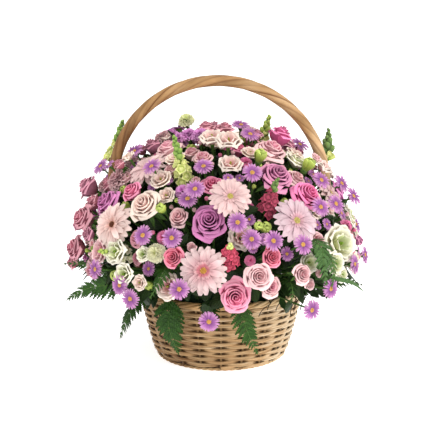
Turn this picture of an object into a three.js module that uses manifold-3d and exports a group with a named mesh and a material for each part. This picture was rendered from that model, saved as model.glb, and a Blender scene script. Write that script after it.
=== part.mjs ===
// A full, round arrangement of cut flowers in a woven willow basket with a hoop handle.
// A plastic liner stands in the basket, a domed block of wet floral foam stands in the liner,
// and every stem and fern stands in its own hole in the foam.
//
// Millimetres, +Z up. The origin is the centre of the basket's foot, on the surface it
// stands on. The front is -Y and the right is +X. A bearing is an angle round the basket in
// degrees, 0 at the front and positive to the right. A rise is an angle above level.

import * as THREE from 'three';
import Module from 'manifold-3d';

const wasm = await Module();
wasm.setup();

const { Vector3 } = THREE;
const radians = THREE.MathUtils.degToRad;

// ---------------------------------------------------------------- driving dimensions

const FOOT_RADIUS = 107; // outside of the weave at the foot
const RIM_RADIUS = 140; // outside of the rolled border
const RIM_HEIGHT = 120; // top of the border
const WALL = 7; // thickness of the weave
const STAKES = 21; // upright rods; an odd number makes each row alternate
const WEAVE_ROWS = 8; // rows of relief that stand for the finer weave
const WEAVE_PROUD = 2.2; // how far a row bows out over a stake
const WEAVE_SUNK = 1.2; // and in behind the next
const BORDER_DROP = 4; // the border's inner and outer edges are this far below its top

const HOOP_RADIUS = 172; // centre line of the handle's round top
const HOOP_HEIGHT = 277; // height of that circle's centre
const HOOP_LEAN = -5; // the round top stands this far to the left of the basket's axis
const HANDLE_RADIUS = 9.3; // of the rod at the top
const HANDLE_FOOT_RADIUS = 6.1; // of the rod where it goes down inside the weave
const HANDLE_SIDES = 6;
// Its right leg from the foot up, as [distance from the axis, height]: down between the
// weave and the liner, out over the border and up to the round top.
const HANDLE_LEG = [[103.5, 40], [110.5, 75], [116.8, 113], [122, 131], [139.5, 153], [155, 188],
  [168, 232]];

const FIT = 0.3; // clearance between pieces that rest against each other
const LINER_THICKNESS = 1.8;
const LINER_FOOT_RADIUS = 88;
const LINER_TOP_RADIUS = 107.5;
const LINER_HEIGHT = 102;

const FOAM_FOOT_RADIUS = 84;
const FOAM_RADIUS = 102.5; // where the dome starts
const FOAM_SHOULDER = 100; // height where the dome starts
const FOAM_DOME = 65; // height of the dome
const HOLE_DEPTH = 25; // how far a stem stands in the foam
const HOLE_CLEARANCE = 0.5;

const GATHER = new Vector3(0, 0, 132); // the blooms lie on a ball round this point
const SPREAD = 62; // steeper stems aim this much lower, so they part in the foam
const VIEWER = new Vector3(0, -Math.cos(radians(13)), Math.sin(radians(13)));
const UPRIGHT = new Vector3(0, 0, 1);
const STEM_GAP = 0.9; // least gap between a bent shoot and its neighbours
const HIGHEST_FORK = 176; // how far out a side shoot may leave another
const DOME_GAP = 3; // between a bent shoot and the foam
const BORDER_MIDDLE = [RIM_RADIUS - 6, RIM_HEIGHT - 6]; // of the border: radius and height
const BORDER_GAP = 11; // between a bent shoot and the middle of the border
const LEAF_LENGTH = 36;
const LEAF_HALF_WIDTH = 8.5;
const LEAFY_ROSE = 27.5; // only larger roses keep a leaf under the bloom
const FERN_STALK = 1.5;
const FERN_FOOT = 2.8; // a fern's hole is this wide, because its stalk enters it level

// ---------------------------------------------------------------- building closed skins

// A closed body over rows of points. Each row runs anticlockwise seen from the first row.
// Rows may differ in count, and a row of one point is a pole.
function skin(rows) {
  const faces = [];
  let start = 0;
  for (let k = 0; k + 1 < rows.length; k += 1) {
    const upper = rows[k].length;
    const lower = rows[k + 1].length;
    const below = start + upper;
    let i = 0;
    let j = 0;
    while ((upper > 1 && i < upper) || (lower > 1 && j < lower)) {
      const lowerLeft = lower > 1 && j < lower;
      const upperLeft = upper > 1 && i < upper;
      if (lowerLeft && (!upperLeft || (j + 1) * upper <= (i + 1) * lower)) {
        faces.push([start + (i % upper), below + j, below + ((j + 1) % lower)]);
        j += 1;
      } else {
        faces.push([start + i, below + (j % lower), start + ((i + 1) % upper)]);
        i += 1;
      }
    }
    start = below;
  }
  for (let j = 1; j + 1 < rows[0].length; j += 1) faces.push([0, j, j + 1]);
  for (let j = 1; j + 1 < rows.at(-1).length; j += 1) faces.push([start, start + j + 1, start + j]);
  return solid(rows.flat(), faces);
}

function solid(points, faces) {
  return new wasm.Manifold(new wasm.Mesh({
    numProp: 3,
    vertProperties: new Float32Array(points.flatMap((point) => point.toArray())),
    triVerts: new Uint32Array(faces.flat()),
  }));
}

function join(bodies) {
  return bodies.reduce((whole, body) => whole.add(body));
}

function meshOf(name, body, finish) {
  const { vertProperties, triVerts } = body.getMesh();
  const geometry = new THREE.BufferGeometry();
  geometry.setAttribute('position', new THREE.BufferAttribute(new Float32Array(vertProperties), 3));
  geometry.setIndex(new THREE.BufferAttribute(new Uint32Array(triVerts), 1));
  geometry.computeVertexNormals();
  const mesh = new THREE.Mesh(geometry, finish);
  mesh.name = name;
  return mesh;
}

function finish(color, roughness = 0.75) {
  return new THREE.MeshStandardMaterial({ color, roughness, metalness: 0, flatShading: true });
}

// A level ring about the basket's axis; radius may be a number or a function of the index.
function hoop(count, radius, height) {
  return Array.from({ length: count }, (_, i) => {
    const turn = (i / count) * 2 * Math.PI;
    const r = typeof radius === 'function' ? radius(i) : radius;
    return new Vector3(r * Math.cos(turn), r * Math.sin(turn), height);
  });
}

// A ring of the given radius across a path, ready to be a row of a skin.
function collar(centre, axis, right, radius, sides = 3) {
  const u = right.clone().addScaledVector(axis, -right.dot(axis)).normalize();
  const v = axis.clone().cross(u);
  return Array.from({ length: sides }, (_, i) => {
    const turn = (i / sides) * 2 * Math.PI;
    return centre.clone()
      .addScaledVector(u, radius * Math.cos(turn))
      .addScaledVector(v, radius * Math.sin(turn));
  });
}

// ---------------------------------------------------------------- basket, liner and foam

function wallRadius(height) {
  return FOOT_RADIUS + (RIM_RADIUS - 4 - FOOT_RADIUS) * (height / (RIM_HEIGHT - 8)) ** 0.85;
}

// Willow weave: each row bows out over one stake and in behind the next. Two points to a
// stake, one on it and one between it and the next.
function makeBasket() {
  const columns = 2 * STAKES;
  const firstRow = 6;
  const lastRow = RIM_HEIGHT - 12;
  const middle = RIM_HEIGHT / 2;
  const borderWidth = WALL + 6;
  const edge = RIM_HEIGHT - BORDER_DROP;
  const rows = [[new Vector3(0, 0, WALL)]];
  rows.push(hoop(STAKES, wallRadius(WALL) - WALL, WALL));
  rows.push(hoop(STAKES, wallRadius(middle) - WALL, middle));
  rows.push(hoop(STAKES, RIM_RADIUS - borderWidth, edge));
  rows.push(hoop(columns, RIM_RADIUS - borderWidth / 2, RIM_HEIGHT));
  rows.push(hoop(columns, RIM_RADIUS, edge));
  for (let k = WEAVE_ROWS - 1; k >= 0; k -= 1) {
    const height = firstRow + ((lastRow - firstRow) * k) / (WEAVE_ROWS - 1);
    rows.push(hoop(columns, (i) => {
      const overStake = (i / 2 + k) % 2 ? WEAVE_PROUD : -WEAVE_SUNK;
      return wallRadius(height) + (i % 2 ? 0 : overStake);
    }, height));
  }
  rows.push(hoop(columns, FOOT_RADIUS - 1, 0));
  rows.push([new Vector3(0, 0, 0)]);
  return skin(rows);
}

// Half of the handle's centre line, from its foot on one side, 1 or -1, almost to the top.
function halfHandle(side) {
  const quarter = [0, 15, 30, 45, 60, 75].map((turn) => [
    HOOP_RADIUS * Math.cos(radians(turn)),
    HOOP_HEIGHT + HOOP_RADIUS * Math.sin(radians(turn)),
  ]);
  return [...HANDLE_LEG, ...quarter].map(([x, z]) => [
    side * x + HOOP_LEAN * THREE.MathUtils.smoothstep(z, 130, 420),
    z,
  ]);
}

function makeHandle() {
  const top = [HOOP_LEAN, HOOP_HEIGHT + HOOP_RADIUS];
  const points = [...halfHandle(-1), top, ...halfHandle(1).reverse()];
  const line = new THREE.CatmullRomCurve3(points.map(([x, z]) => new Vector3(x, 0, z)));
  const steps = 30;
  const across = new Vector3(0, 1, 0);
  const rows = [];
  for (let k = steps; k >= 0; k -= 1) {
    const centre = line.getPointAt(k / steps);
    const thin = THREE.MathUtils.smoothstep(centre.z, 90, 260);
    const radius = THREE.MathUtils.lerp(HANDLE_FOOT_RADIUS, HANDLE_RADIUS, thin);
    rows.push(collar(centre, line.getTangentAt(k / steps), across, radius, HANDLE_SIDES));
  }
  return skin(rows);
}

function makeLiner() {
  const sides = 24;
  const floor = WALL + FIT;
  const inside = LINER_THICKNESS;
  return skin([
    [new Vector3(0, 0, floor + inside)],
    hoop(sides, LINER_FOOT_RADIUS - inside, floor + inside),
    hoop(sides, LINER_TOP_RADIUS - inside, LINER_HEIGHT),
    hoop(sides, LINER_TOP_RADIUS, LINER_HEIGHT),
    hoop(sides, LINER_FOOT_RADIUS, floor),
    [new Vector3(0, 0, floor)],
  ]);
}

function makeFoam(stems) {
  const floor = WALL + FIT + LINER_THICKNESS + FIT;
  const rows = [[new Vector3(0, 0, FOAM_SHOULDER + FOAM_DOME)]];
  for (const [slope, sides] of [[68, 8], [46, 14], [26, 20], [10, 20], [0, 20]]) {
    const turn = radians(slope);
    rows.push(hoop(sides, FOAM_RADIUS * Math.cos(turn), FOAM_SHOULDER + FOAM_DOME * Math.sin(turn)));
  }
  rows.push(hoop(20, FOAM_FOOT_RADIUS, floor));
  rows.push([new Vector3(0, 0, floor)]);
  const holes = stems.map(({ foot, axis, right, radius }) => {
    const wide = radius + HOLE_CLEARANCE;
    const bottom = foot.clone().addScaledVector(axis, -FIT);
    const mouth = foot.clone().addScaledVector(axis, HOLE_DEPTH + 12);
    return skin([collar(mouth, axis, right, wide), collar(bottom, axis, right, wide)]);
  });
  return holes.reduce((block, hole) => block.subtract(hole), skin(rows));
}

// ---------------------------------------------------------------- the blooms' own shapes
// Each bloom is a list of rows from its heart, over its petals, to its neck. A row holds
// [radius, turn, height] as shares of the bloom's radius, about the way that it faces.

function row(count, shape, twist = 0) {
  return Array.from({ length: count }, (_, i) => {
    const [radius, height] = shape(i);
    return [radius, ((i + twist) / count) * 2 * Math.PI, height];
  });
}

// Whorls of four petals. Each whorl has its lips between those of the next, with a groove
// inside it. A small rose has fewer whorls.
const SMALL_ROSE = 23;

function rose(size) {
  const points = 8;
  const lip = (whorl, tip, notch) => row(points, (i) => ((i + whorl) % 2 ? tip : notch));
  const groove = (radius, height) => row(points, () => [radius, height]);
  const full = size > SMALL_ROSE;
  return [
    row(1, () => [0, 0.27]),
    lip(0, [0.2, 0.38], [0.17, 0.31]),
    groove(0.3, 0.2),
    lip(1, [0.5, 0.3], [0.44, 0.2]),
    ...(full ? [groove(0.57, 0.06)] : []),
    lip(0, [0.84, 0.04], [0.7, -0.02]),
    ...(full ? [lip(1, [0.99, -0.26], [0.86, -0.36])] : []),
    row(4, () => [0.42, -0.95]),
  ];
}

// Twelve flat petals with a raised rib each, round a button.
function gerbera() {
  const petals = 12;
  return [
    row(1, () => [0, 0.09]),
    row(petals / 2, () => [0.16, 0.07]),
    row(petals, () => [0.28, 0]),
    row(2 * petals, (i) => (i % 2 ? [0.6, 0.1] : [0.5, -0.02])),
    row(3 * petals, (i) => (i % 3 ? [0.99, 0] : [0.62, -0.06])),
    row(petals / 2, () => [0.17, -0.3]),
  ];
}

// Narrow rays round a raised button.
function aster() {
  const rays = 7;
  return [
    row(1, () => [0, 0.2]),
    row(rays, () => [0.33, 0.08], 0.5),
    row(2 * rays, (i) => (i % 2 ? [0.98, 0.02] : [0.5, -0.04])),
  ];
}

// Crowded, frilled petals in three whorls.
function carnation() {
  return [
    row(1, () => [0, 0.42]),
    row(6, (i) => (i % 2 ? [0.32, 0.46] : [0.24, 0.3])),
    row(12, (i) => (i % 2 ? [0.6, 0.34] : [0.5, 0.14])),
    row(12, (i) => (i % 2 ? [0.74, -0.02] : [0.86, 0.02])),
    row(12, (i) => (i % 2 ? [0.9, -0.34] : [0.74, -0.42])),
    row(5, () => [0.3, -0.9]),
  ];
}

// An open cup of five wide petals round a small boss.
function lisianthus() {
  const petals = 5;
  return [
    row(1, () => [0, 0.02]),
    row(petals, () => [0.24, -0.16]),
    row(2 * petals, (i) => (i % 2 ? [0.7, 0.12] : [0.58, -0.06])),
    row(2 * petals, (i) => (i % 2 ? [0.9, -0.18] : [0.72, -0.26])),
    row(petals, () => [0.4, -0.85]),
  ];
}

function bud() {
  return [
    row(1, () => [0, 0.1]),
    row(5, () => [0.66, -0.3]),
    row(5, () => [0.95, -1]),
    row(5, () => [0.62, -1.9]),
  ];
}

// A tapering spike of florets and buds: six points to a row, every second one a floret's
// lip, with the lips of one row over the gaps of the next. Its size is its length.
function spike(length) {
  const outline = [[0, 2], [0.08, 9], [0.2, 10.5], [0.32, 9.8], [0.44, 8.4], [0.56, 7.2],
    [0.68, 6.2], [0.8, 5.2], [0.9, 4.2]];
  const base = -22 / length;
  const rows = outline.map(([share, radius], k) => row(6, (i) => {
    const lip = (i + k) % 2 ? 1.3 : 0.62;
    return [(lip * radius) / length, base + share * (0.95 - base)];
  }));
  return [row(1, () => [0, 0.93]), ...rows.reverse()];
}

const BLOOMS = {
  rose: { rows: rose, neck: 1.25, stem: 2.2, finish: [0xc98ab0, 0.7] },
  gerbera: { rows: gerbera, neck: 0.42, stem: 2.2, finish: [0xf6d6da, 0.75] },
  aster: { rows: aster, neck: 0.75, stem: 1.3, finish: [0xb48bd8, 0.75] },
  carnation: { rows: carnation, neck: 1.25, stem: 1.8, finish: [0xb878b4, 0.8] },
  lisianthus: { rows: lisianthus, neck: 1.2, stem: 1.7, finish: [0xf4f1dc, 0.75] },
  bud: { rows: bud, neck: 2.1, stem: 1.3, finish: [0xb9cf5a, 0.7] },
  spike: { rows: spike, neck: 0.4, stem: 1.9, finish: [0x9db55c, 0.75] },
};

// ---------------------------------------------------------------- what stands where
// Each spray is one plant piece: its shoots share one stem in the foam, the first shoot's.
// A shoot is [kind, bearing, rise, reach from the gathering point, size] and may have a lean:
// how far its face turns to the viewer, or a spike from its own way, 0, to upright, 1.

const SPRAYS = {
  gerbera_centre: [['gerbera', 4, 41, 256, 32, 0.2]],
  gerbera_right: [['gerbera', 32, 31.5, 246, 37, 0.05]],
  gerbera_low: [['gerbera', -6, 16, 250, 36]],
  gerbera_left: [['gerbera', -50, 28, 242, 36, 0.2]],
  gerbera_upper_left: [['gerbera', -57, 54, 232, 33, 0.15]],
  gerbera_far_right: [['gerbera', 75.5, 39, 229, 31]],
  gerbera_back: [['gerbera', -172, 25, 246, 40], ['gerbera', 165, 32, 246, 40],
    ['gerbera', -155, 32, 246, 40]],

  rose_mauve_centre: [['rose', -5, 34, 238, 30]],
  rose_mauve_right: [['rose', 32, 50, 248, 31]],
  rose_mauve_left: [['rose', -66, 35, 240, 27]],
  rose_pair_crown: [['rose', 51, 65, 240, 30], ['rose', 96, 67, 252, 26]],
  rose_pink_right: [['rose', 46, 41, 244, 27]],
  rose_pink_low: [['rose', 5, 7, 238, 28]],
  rose_cream_left: [['rose', -35, 37, 250, 30], ['rose', -49, 42, 244, 20], ['rose', -20, 36, 228, 21]],
  rose_pair_upper_left: [['rose', -66, 67, 234, 27], ['rose', -96, 62, 242, 20]],
  rose_trio_left: [['rose', -77, 25, 252, 25, 0.3], ['rose', -95, 33, 265, 25],
    ['rose', -83, 12, 246, 24, 0.3]],
  rose_pink_upper: [['rose', -5, 50, 232, 22]],
  rose_trio_low_right: [['rose', 12, 14, 268, 23.5], ['rose', 19, 20, 244, 19],
    ['rose', 30, 13, 246, 19]],
  rose_coral_left: [['rose', -18, 20, 242, 19]],
  rose_back_right: [['rose', 134, 22, 244, 31], ['rose', 118, 10, 244, 31],
    ['rose', 137, 6, 244, 31], ['rose', 152, 14, 244, 31]],
  rose_back_left: [['rose', -137, 20, 244, 31], ['rose', -152, 8, 244, 31],
    ['rose', -132, 5, 244, 31], ['rose', -117, 12, 244, 31]],
  rose_back_crown: [['rose', -160, 45, 242, 31], ['rose', -175, 62, 242, 31],
    ['rose', -145, 52, 242, 31], ['rose', 170, 50, 242, 31], ['rose', -160, 82, 240, 24]],
  rose_back_upper_right: [['rose', 125, 55, 240, 29], ['rose', 149, 67, 240, 29],
    ['rose', 106, 33, 238, 29]],

  carnation_lilac_crown: [['carnation', -92, 75, 236, 22], ['carnation', -117, 66, 246, 24],
    ['carnation', -122, 75, 262, 15, 0.5]],
  carnation_dusty_left: [['carnation', -79, 45, 240, 25]],
  carnation_cream_low: [['carnation', -26, 21, 240, 16]],
  carnation_back: [['carnation', 135, 42, 240, 29], ['carnation', 150, 40, 240, 29],
    ['carnation', 118, 26, 240, 24]],

  lisianthus_crown: [['lisianthus', 7, 68, 260, 21], ['lisianthus', -12, 74, 252, 21],
    ['lisianthus', 7, 60, 240, 19]],
  lisianthus_upper_right: [['lisianthus', 71, 57, 238, 21], ['bud', 65, 52, 250, 12],
    ['bud', 29, 60, 252, 11.5]],
  lisianthus_right: [['lisianthus', 58, 20, 236, 30, 0.5], ['lisianthus', 48, 14, 244, 19]],
  lisianthus_far_right: [['lisianthus', 105, 42, 248, 17], ['lisianthus', 86, 26, 236, 21],
    ['carnation', 66, 25, 240, 12]],
  lisianthus_back: [['lisianthus', -120, 40, 242, 32], ['lisianthus', -128, 30, 242, 32],
    ['lisianthus', -112, 30, 242, 32]],

  snapdragon_upper_left: [['spike', -26, 55, 226, 75, 0.3]],
  snapdragon_far_left: [['spike', -100, 48, 265, 57, 1.5]],
  snapdragon_upper_right: [['spike', 101, 48, 264, 40, 0.9]],
  snapdragon_crimson_right: [['spike', 23, 40, 230, 60, 0.3]],
  snapdragon_crimson_low: [['spike', 3, 21, 232, 44, 0.3]],
  snapdragon_white_left: [['spike', -47, 18, 220, 42]],
  snapdragon_back: [['spike', 121, 70, 228, 45]],

  aster_centre_left: [['aster', -12, 44, 254, 15.5], ['aster', -16, 42, 240, 15.5],
    ['aster', -18, 26, 256, 15.5], ['aster', -30, 26, 254, 15.5], ['aster', -11, 56, 244, 15.5],
    ['aster', -40, 51, 258, 15.5]],
  aster_centre_right: [['aster', 11, 26, 256, 15.5], ['aster', 6, 31, 266, 15.5],
    ['aster', 19, 25, 256, 15.5], ['aster', 29, 22.5, 265, 15.5], ['bud', 15, 31, 248, 8]],
  aster_low: [['aster', -13, 10, 268, 15.5], ['aster', -4, -1, 250, 15.5]],
  aster_low_left: [['aster', -38, 8, 246, 15.5], ['aster', -52, 11, 246, 15.5],
    ['aster', -33, 4, 246, 15.5]],
  aster_low_right: [['aster', 42, 6, 246, 15.5], ['aster', 33, 0, 246, 15.5],
    ['aster', 61, 11, 240, 15.5]],
  aster_right: [['aster', 57, 34, 252, 15.5, 0.3], ['aster', 44, 34, 258, 15.5, 0.3],
    ['aster', 59, 44, 250, 15.5, 0.3]],
  aster_far_right: [['aster', 85, 32, 252, 15.5, 0.5], ['aster', 84.5, 38.5, 248, 15.5, 0.5],
    ['aster', 102, 58, 248, 15.5, 0.5], ['aster', 111, 46, 254, 15.5, 0.5],
    ['aster', 100, 18, 240, 15.5, 0.5], ['aster', 96, 6, 242, 15.5, 0.5]],
  aster_upper_left: [['aster', -85, 56, 248, 15.5, 0.5], ['aster', -94, 42, 264, 15.5, 0.5]],
  aster_crown: [['aster', 51, 76, 244, 15.5, 0.5], ['aster', 17, 51, 252, 15.5, 0.5],
    ['aster', 136, 79, 246, 15.5, 0.5]],
  aster_back_low: [['aster', 178, 1, 252, 19], ['aster', 170, 8, 252, 19],
    ['aster', -172, 6, 252, 19], ['aster', -164, 12, 252, 19], ['aster', 180, 14, 252, 19]],
  aster_back_left: [['aster', -105, 20, 252, 19], ['aster', -98, 6, 252, 19],
    ['aster', -138, 65, 252, 19]],
};

// Fern fronds: each arches out over the border and hangs. A path's points are [bearing,
// distance from the axis, height]; the first frond of a piece stands in the foam and the
// others branch from it. width is the half width of the blade and roll turns its face.
const FERNS = {
  fern_front_left: [
    { path: [[-30, 78, 131], [-30, 120, 131], [-30, 155, 127], [-28.5, 168, 92], [-24.5, 160, 44]],
      width: 25, pairs: 9, roll: 0 },
    { path: [[-30, 106, 131], [-42, 118, 131], [-47, 150, 131], [-49, 186, 104], [-52, 200, 61]],
      width: 19, pairs: 8, roll: 0 },
  ],
  fern_left: [
    { path: [[-62, 78, 130], [-62, 120, 131], [-63, 185, 137], [-65, 235, 133], [-67.5, 262, 116]],
      width: 24, pairs: 9, roll: 65 },
    { path: [[-62, 110, 131], [-70, 135, 134], [-76, 190, 150], [-79, 240, 161], [-80, 258, 160]],
      width: 16, pairs: 7, roll: 60 },
  ],
  fern_front: [
    { path: [[10, 80, 122], [10, 118, 124], [10, 150, 129], [13, 170, 90], [20, 165, 45]],
      width: 19, pairs: 8, roll: 0 },
    { path: [[10, 110, 123.5], [0, 116, 122], [-6, 130, 124], [-7, 155, 127], [-4, 176, 114],
      [-2, 186, 94]], width: 15, pairs: 6, roll: 0 },
  ],
  fern_right: [
    { path: [[52, 78, 132], [52, 118, 135], [53, 180, 148], [53, 240, 152]],
      width: 22, pairs: 8, roll: -65 },
    { path: [[52, 106, 134], [61, 124, 133], [68, 160, 138], [67, 205, 145], [66, 244, 140]],
      width: 16, pairs: 7, roll: -60 },
  ],
  fern_back_right: [
    { path: [[112, 78, 130], [112, 120, 131], [113, 158, 128], [114, 190, 108], [115, 203, 62]],
      width: 22, pairs: 8, roll: 0 },
    { path: [[112, 106, 130.5], [124, 117, 127], [140, 124, 127], [150, 150, 129], [152, 186, 110],
      [153, 200, 60]], width: 22, pairs: 8, roll: 0 },
  ],
  fern_back_left: [
    { path: [[-150, 78, 130], [-150, 120, 131], [-149, 158, 128], [-148, 190, 108], [-147, 203, 62]],
      width: 22, pairs: 8, roll: 0 },
    { path: [[-150, 106, 130.5], [-160, 116, 127], [-170, 124, 127], [-175, 150, 129],
      [-176, 186, 110], [-176, 200, 60]], width: 22, pairs: 8, roll: 0 },
    { path: [[-150, 106, 130.5], [-138, 117, 127], [-122, 122, 127], [-113, 150, 129],
      [-112, 186, 110], [-111, 200, 64]], width: 22, pairs: 8, roll: 0 },
  ],
};

// ---------------------------------------------------------------- stems and shoots

function outward(bearing, rise) {
  const turn = radians(bearing);
  const lift = radians(rise);
  return new Vector3(
    Math.cos(lift) * Math.sin(turn),
    -Math.cos(lift) * Math.cos(turn),
    Math.sin(lift),
  );
}

// The distance along a ray from a point inside the foam to the dome.
function distanceToDome(from, axis) {
  const squash = new Vector3(1 / FOAM_RADIUS, 1 / FOAM_RADIUS, 1 / FOAM_DOME);
  const centre = from.clone().sub(new Vector3(0, 0, FOAM_SHOULDER)).multiply(squash);
  const way = axis.clone().multiply(squash);
  const a = way.dot(way);
  const b = centre.dot(way);
  const c = centre.dot(centre) - 1;
  return (-b + Math.sqrt(b * b - a * c)) / a;
}

// A shoot's bloom and its straight stem, which runs to the gathering point or below it.
function makeShoot(spray, [kind, bearing, rise, reach, size, lean = 0]) {
  const { neck, stem } = BLOOMS[kind];
  const ray = outward(bearing, rise);
  const origin = GATHER.clone().addScaledVector(ray, reach);
  const face = kind === 'spike'
    ? ray.clone().lerp(UPRIGHT, lean).normalize()
    : ray.clone().addScaledVector(VIEWER, lean).normalize();
  const right = new Vector3(-face.y, face.x, 0).normalize();
  const up = face.clone().cross(right);
  const throat = origin.clone().addScaledVector(face, kind === 'spike' ? -22 : -neck * size);
  const aim = GATHER.clone().setZ(GATHER.z - SPREAD * Math.sin(radians(rise)));
  const axis = throat.clone().sub(aim).normalize();
  const along = (distance) => aim.clone().addScaledVector(axis, distance);
  const entry = distanceToDome(aim, axis);
  return {
    spray, kind, size, origin, face, right, up, throat, axis, along, entry, low: entry, radius: stem,
  };
}

const shoots = Object.entries(SPRAYS).flatMap(([spray, list]) => (
  list.map((entry) => makeShoot(spray, entry))));

// Thin pieces that a bent shoot or a leaf keeps clear of: straight stems and the handle.
const FIRST_CROSSING = 112; // stems count from this far out; below it they are in the foam
const obstacles = shoots.map(({ spray, throat, along, radius }) => ({
  owner: spray, line: new THREE.Line3(along(FIRST_CROSSING), throat), radius,
}));
for (const side of [-1, 1]) {
  const legPoints = halfHandle(side);
  for (let k = 0; k + 1 < legPoints.length; k += 1) {
    const [from, to] = [legPoints[k], legPoints[k + 1]].map(([x, z]) => new Vector3(x, 0, z));
    obstacles.push({ owner: 'handle', line: new THREE.Line3(from, to), radius: HANDLE_RADIUS });
  }
}

function isClear(owner, from, to, radius) {
  const steps = Math.ceil(from.distanceTo(to) / 3);
  const nearest = new Vector3();
  for (let k = 0; k <= steps; k += 1) {
    const point = from.clone().lerp(to, k / steps);
    const around = Math.hypot(point.x, point.y);
    const overDome = Math.hypot(
      around / (FOAM_RADIUS + DOME_GAP),
      (point.z - FOAM_SHOULDER) / (FOAM_DOME + DOME_GAP),
    );
    if (overDome < 1) return false;
    const offBorder = Math.hypot(around - BORDER_MIDDLE[0], point.z - BORDER_MIDDLE[1]);
    if (offBorder < BORDER_GAP + radius) return false;
    for (const obstacle of obstacles) {
      if (obstacle.owner !== owner) {
        obstacle.line.closestPointToPoint(point, true, nearest);
        if (nearest.distanceTo(point) < radius + obstacle.radius + STEM_GAP) return false;
      }
    }
  }
  return true;
}

// The shortest bent way, clear of everything, from a side shoot's straight stem to that of
// an earlier shoot of its spray.
function bendOf(shoot, hosts) {
  let best = { length: Infinity, bend: shoot.along(150), seat: hosts[0].along(130), low: 150 };
  for (const host of hosts) {
    for (let level = host.low + 7; level < HIGHEST_FORK; level += 4) {
      const seat = host.along(level);
      for (const drop of [12, 18, 26, 36, 48]) {
        const bend = shoot.along(level + drop);
        const length = bend.distanceTo(seat);
        if (length < best.length && isClear(shoot.spray, bend, seat, shoot.radius)) {
          best = { length, bend, seat, low: level + drop };
        }
      }
    }
  }
  return best;
}

function growShoot(shoot, path) {
  const shape = BLOOMS[shoot.kind].rows(shoot.size);
  const rows = shape.map((points) => points.map(([radius, turn, height]) => (
    shoot.origin.clone()
      .addScaledVector(shoot.right, shoot.size * radius * Math.cos(turn))
      .addScaledVector(shoot.up, shoot.size * radius * Math.sin(turn))
      .addScaledVector(shoot.face, shoot.size * height))));
  const line = [shoot.throat, ...path];
  for (let k = 0; k < line.length; k += 1) {
    const before = line[Math.max(k - 1, 0)];
    const after = line[Math.min(k + 1, line.length - 1)];
    const axis = before.clone().sub(after).normalize();
    rows.push(collar(line[k], axis, shoot.right, shoot.radius));
  }
  return skin(rows);
}

// A rose's leaf: a pointed blade with one tooth a side, folded a little along its rib.
function makeLeaf(base, along, normal) {
  const across = along.clone().cross(normal).normalize();
  const top = across.clone().cross(along);
  const at = (share, side, lift) => base.clone()
    .addScaledVector(along, share * LEAF_LENGTH)
    .addScaledVector(across, side * LEAF_HALF_WIDTH)
    .addScaledVector(top, lift);
  const edge = [[0, 0], [0.28, 0.9], [0.42, 0.7], [0.62, 0.85], [1, 0], [0.62, -0.85], [0.42, -0.7],
    [0.28, -0.9]].map(([share, side]) => at(share, side, 1.6 * Math.abs(side)));
  return skin([[at(0.45, 0, 0.5)], edge, [at(0.45, 0, -0.7)]]);
}

function isClearOfBlooms(point, margin) {
  return shoots.every(({ kind, origin, face, size }) => {
    const depth = kind === 'rose' || kind === 'carnation' || kind === 'lisianthus' ? 0.4 * size : 0;
    const girth = kind === 'spike' ? 20 : size;
    return origin.clone().addScaledVector(face, -depth).distanceTo(point) > girth + margin;
  });
}

// The leaf nearest the light that a rose's stem has room for, if it has room for one.
function leafOf(shoot) {
  const highest = shoot.along(0).distanceTo(shoot.throat) - 6;
  for (let level = highest; level > highest - 30; level -= 5) {
    for (let turn = 0; turn < 360; turn += 20) {
      const along = shoot.axis.clone().multiplyScalar(0.55)
        .addScaledVector(shoot.right, Math.cos(radians(turn)))
        .addScaledVector(shoot.up, Math.sin(radians(turn)))
        .normalize();
      const base = shoot.along(level);
      const tip = base.clone().addScaledVector(along, LEAF_LENGTH);
      const middle = base.clone().lerp(tip, 0.5);
      const open = [middle, tip].every((point) => isClearOfBlooms(point, LEAF_HALF_WIDTH * 0.6));
      if (open && isClear(shoot.spray, base.clone().lerp(tip, 0.3), tip, LEAF_HALF_WIDTH)) {
        obstacles.push({ owner: shoot.spray, line: new THREE.Line3(base, tip), radius: LEAF_HALF_WIDTH });
        return [makeLeaf(base, along, shoot.axis)];
      }
    }
  }
  return [];
}

const standing = []; // what stands in the foam: each needs a hole

function makeSpray(spray) {
  const [leader, ...sides] = shoots.filter((shoot) => shoot.spray === spray);
  const foot = leader.along(leader.entry - HOLE_DEPTH);
  standing.push({ foot, axis: leader.axis, right: leader.right, radius: leader.radius });
  const bodies = [growShoot(leader, [foot])];
  const hosts = [leader];
  for (const shoot of sides) {
    const { bend, seat, low } = bendOf(shoot, hosts);
    obstacles.push({ owner: spray, line: new THREE.Line3(bend, seat), radius: shoot.radius });
    bodies.push(growShoot(shoot, [bend, seat]));
    shoot.low = low;
    hosts.push(shoot);
  }
  for (const host of hosts) {
    if (host.kind === 'rose' && host.size > LEAFY_ROSE) bodies.push(...leafOf(host));
  }
  return join(bodies);
}

// ---------------------------------------------------------------- ferns

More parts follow.
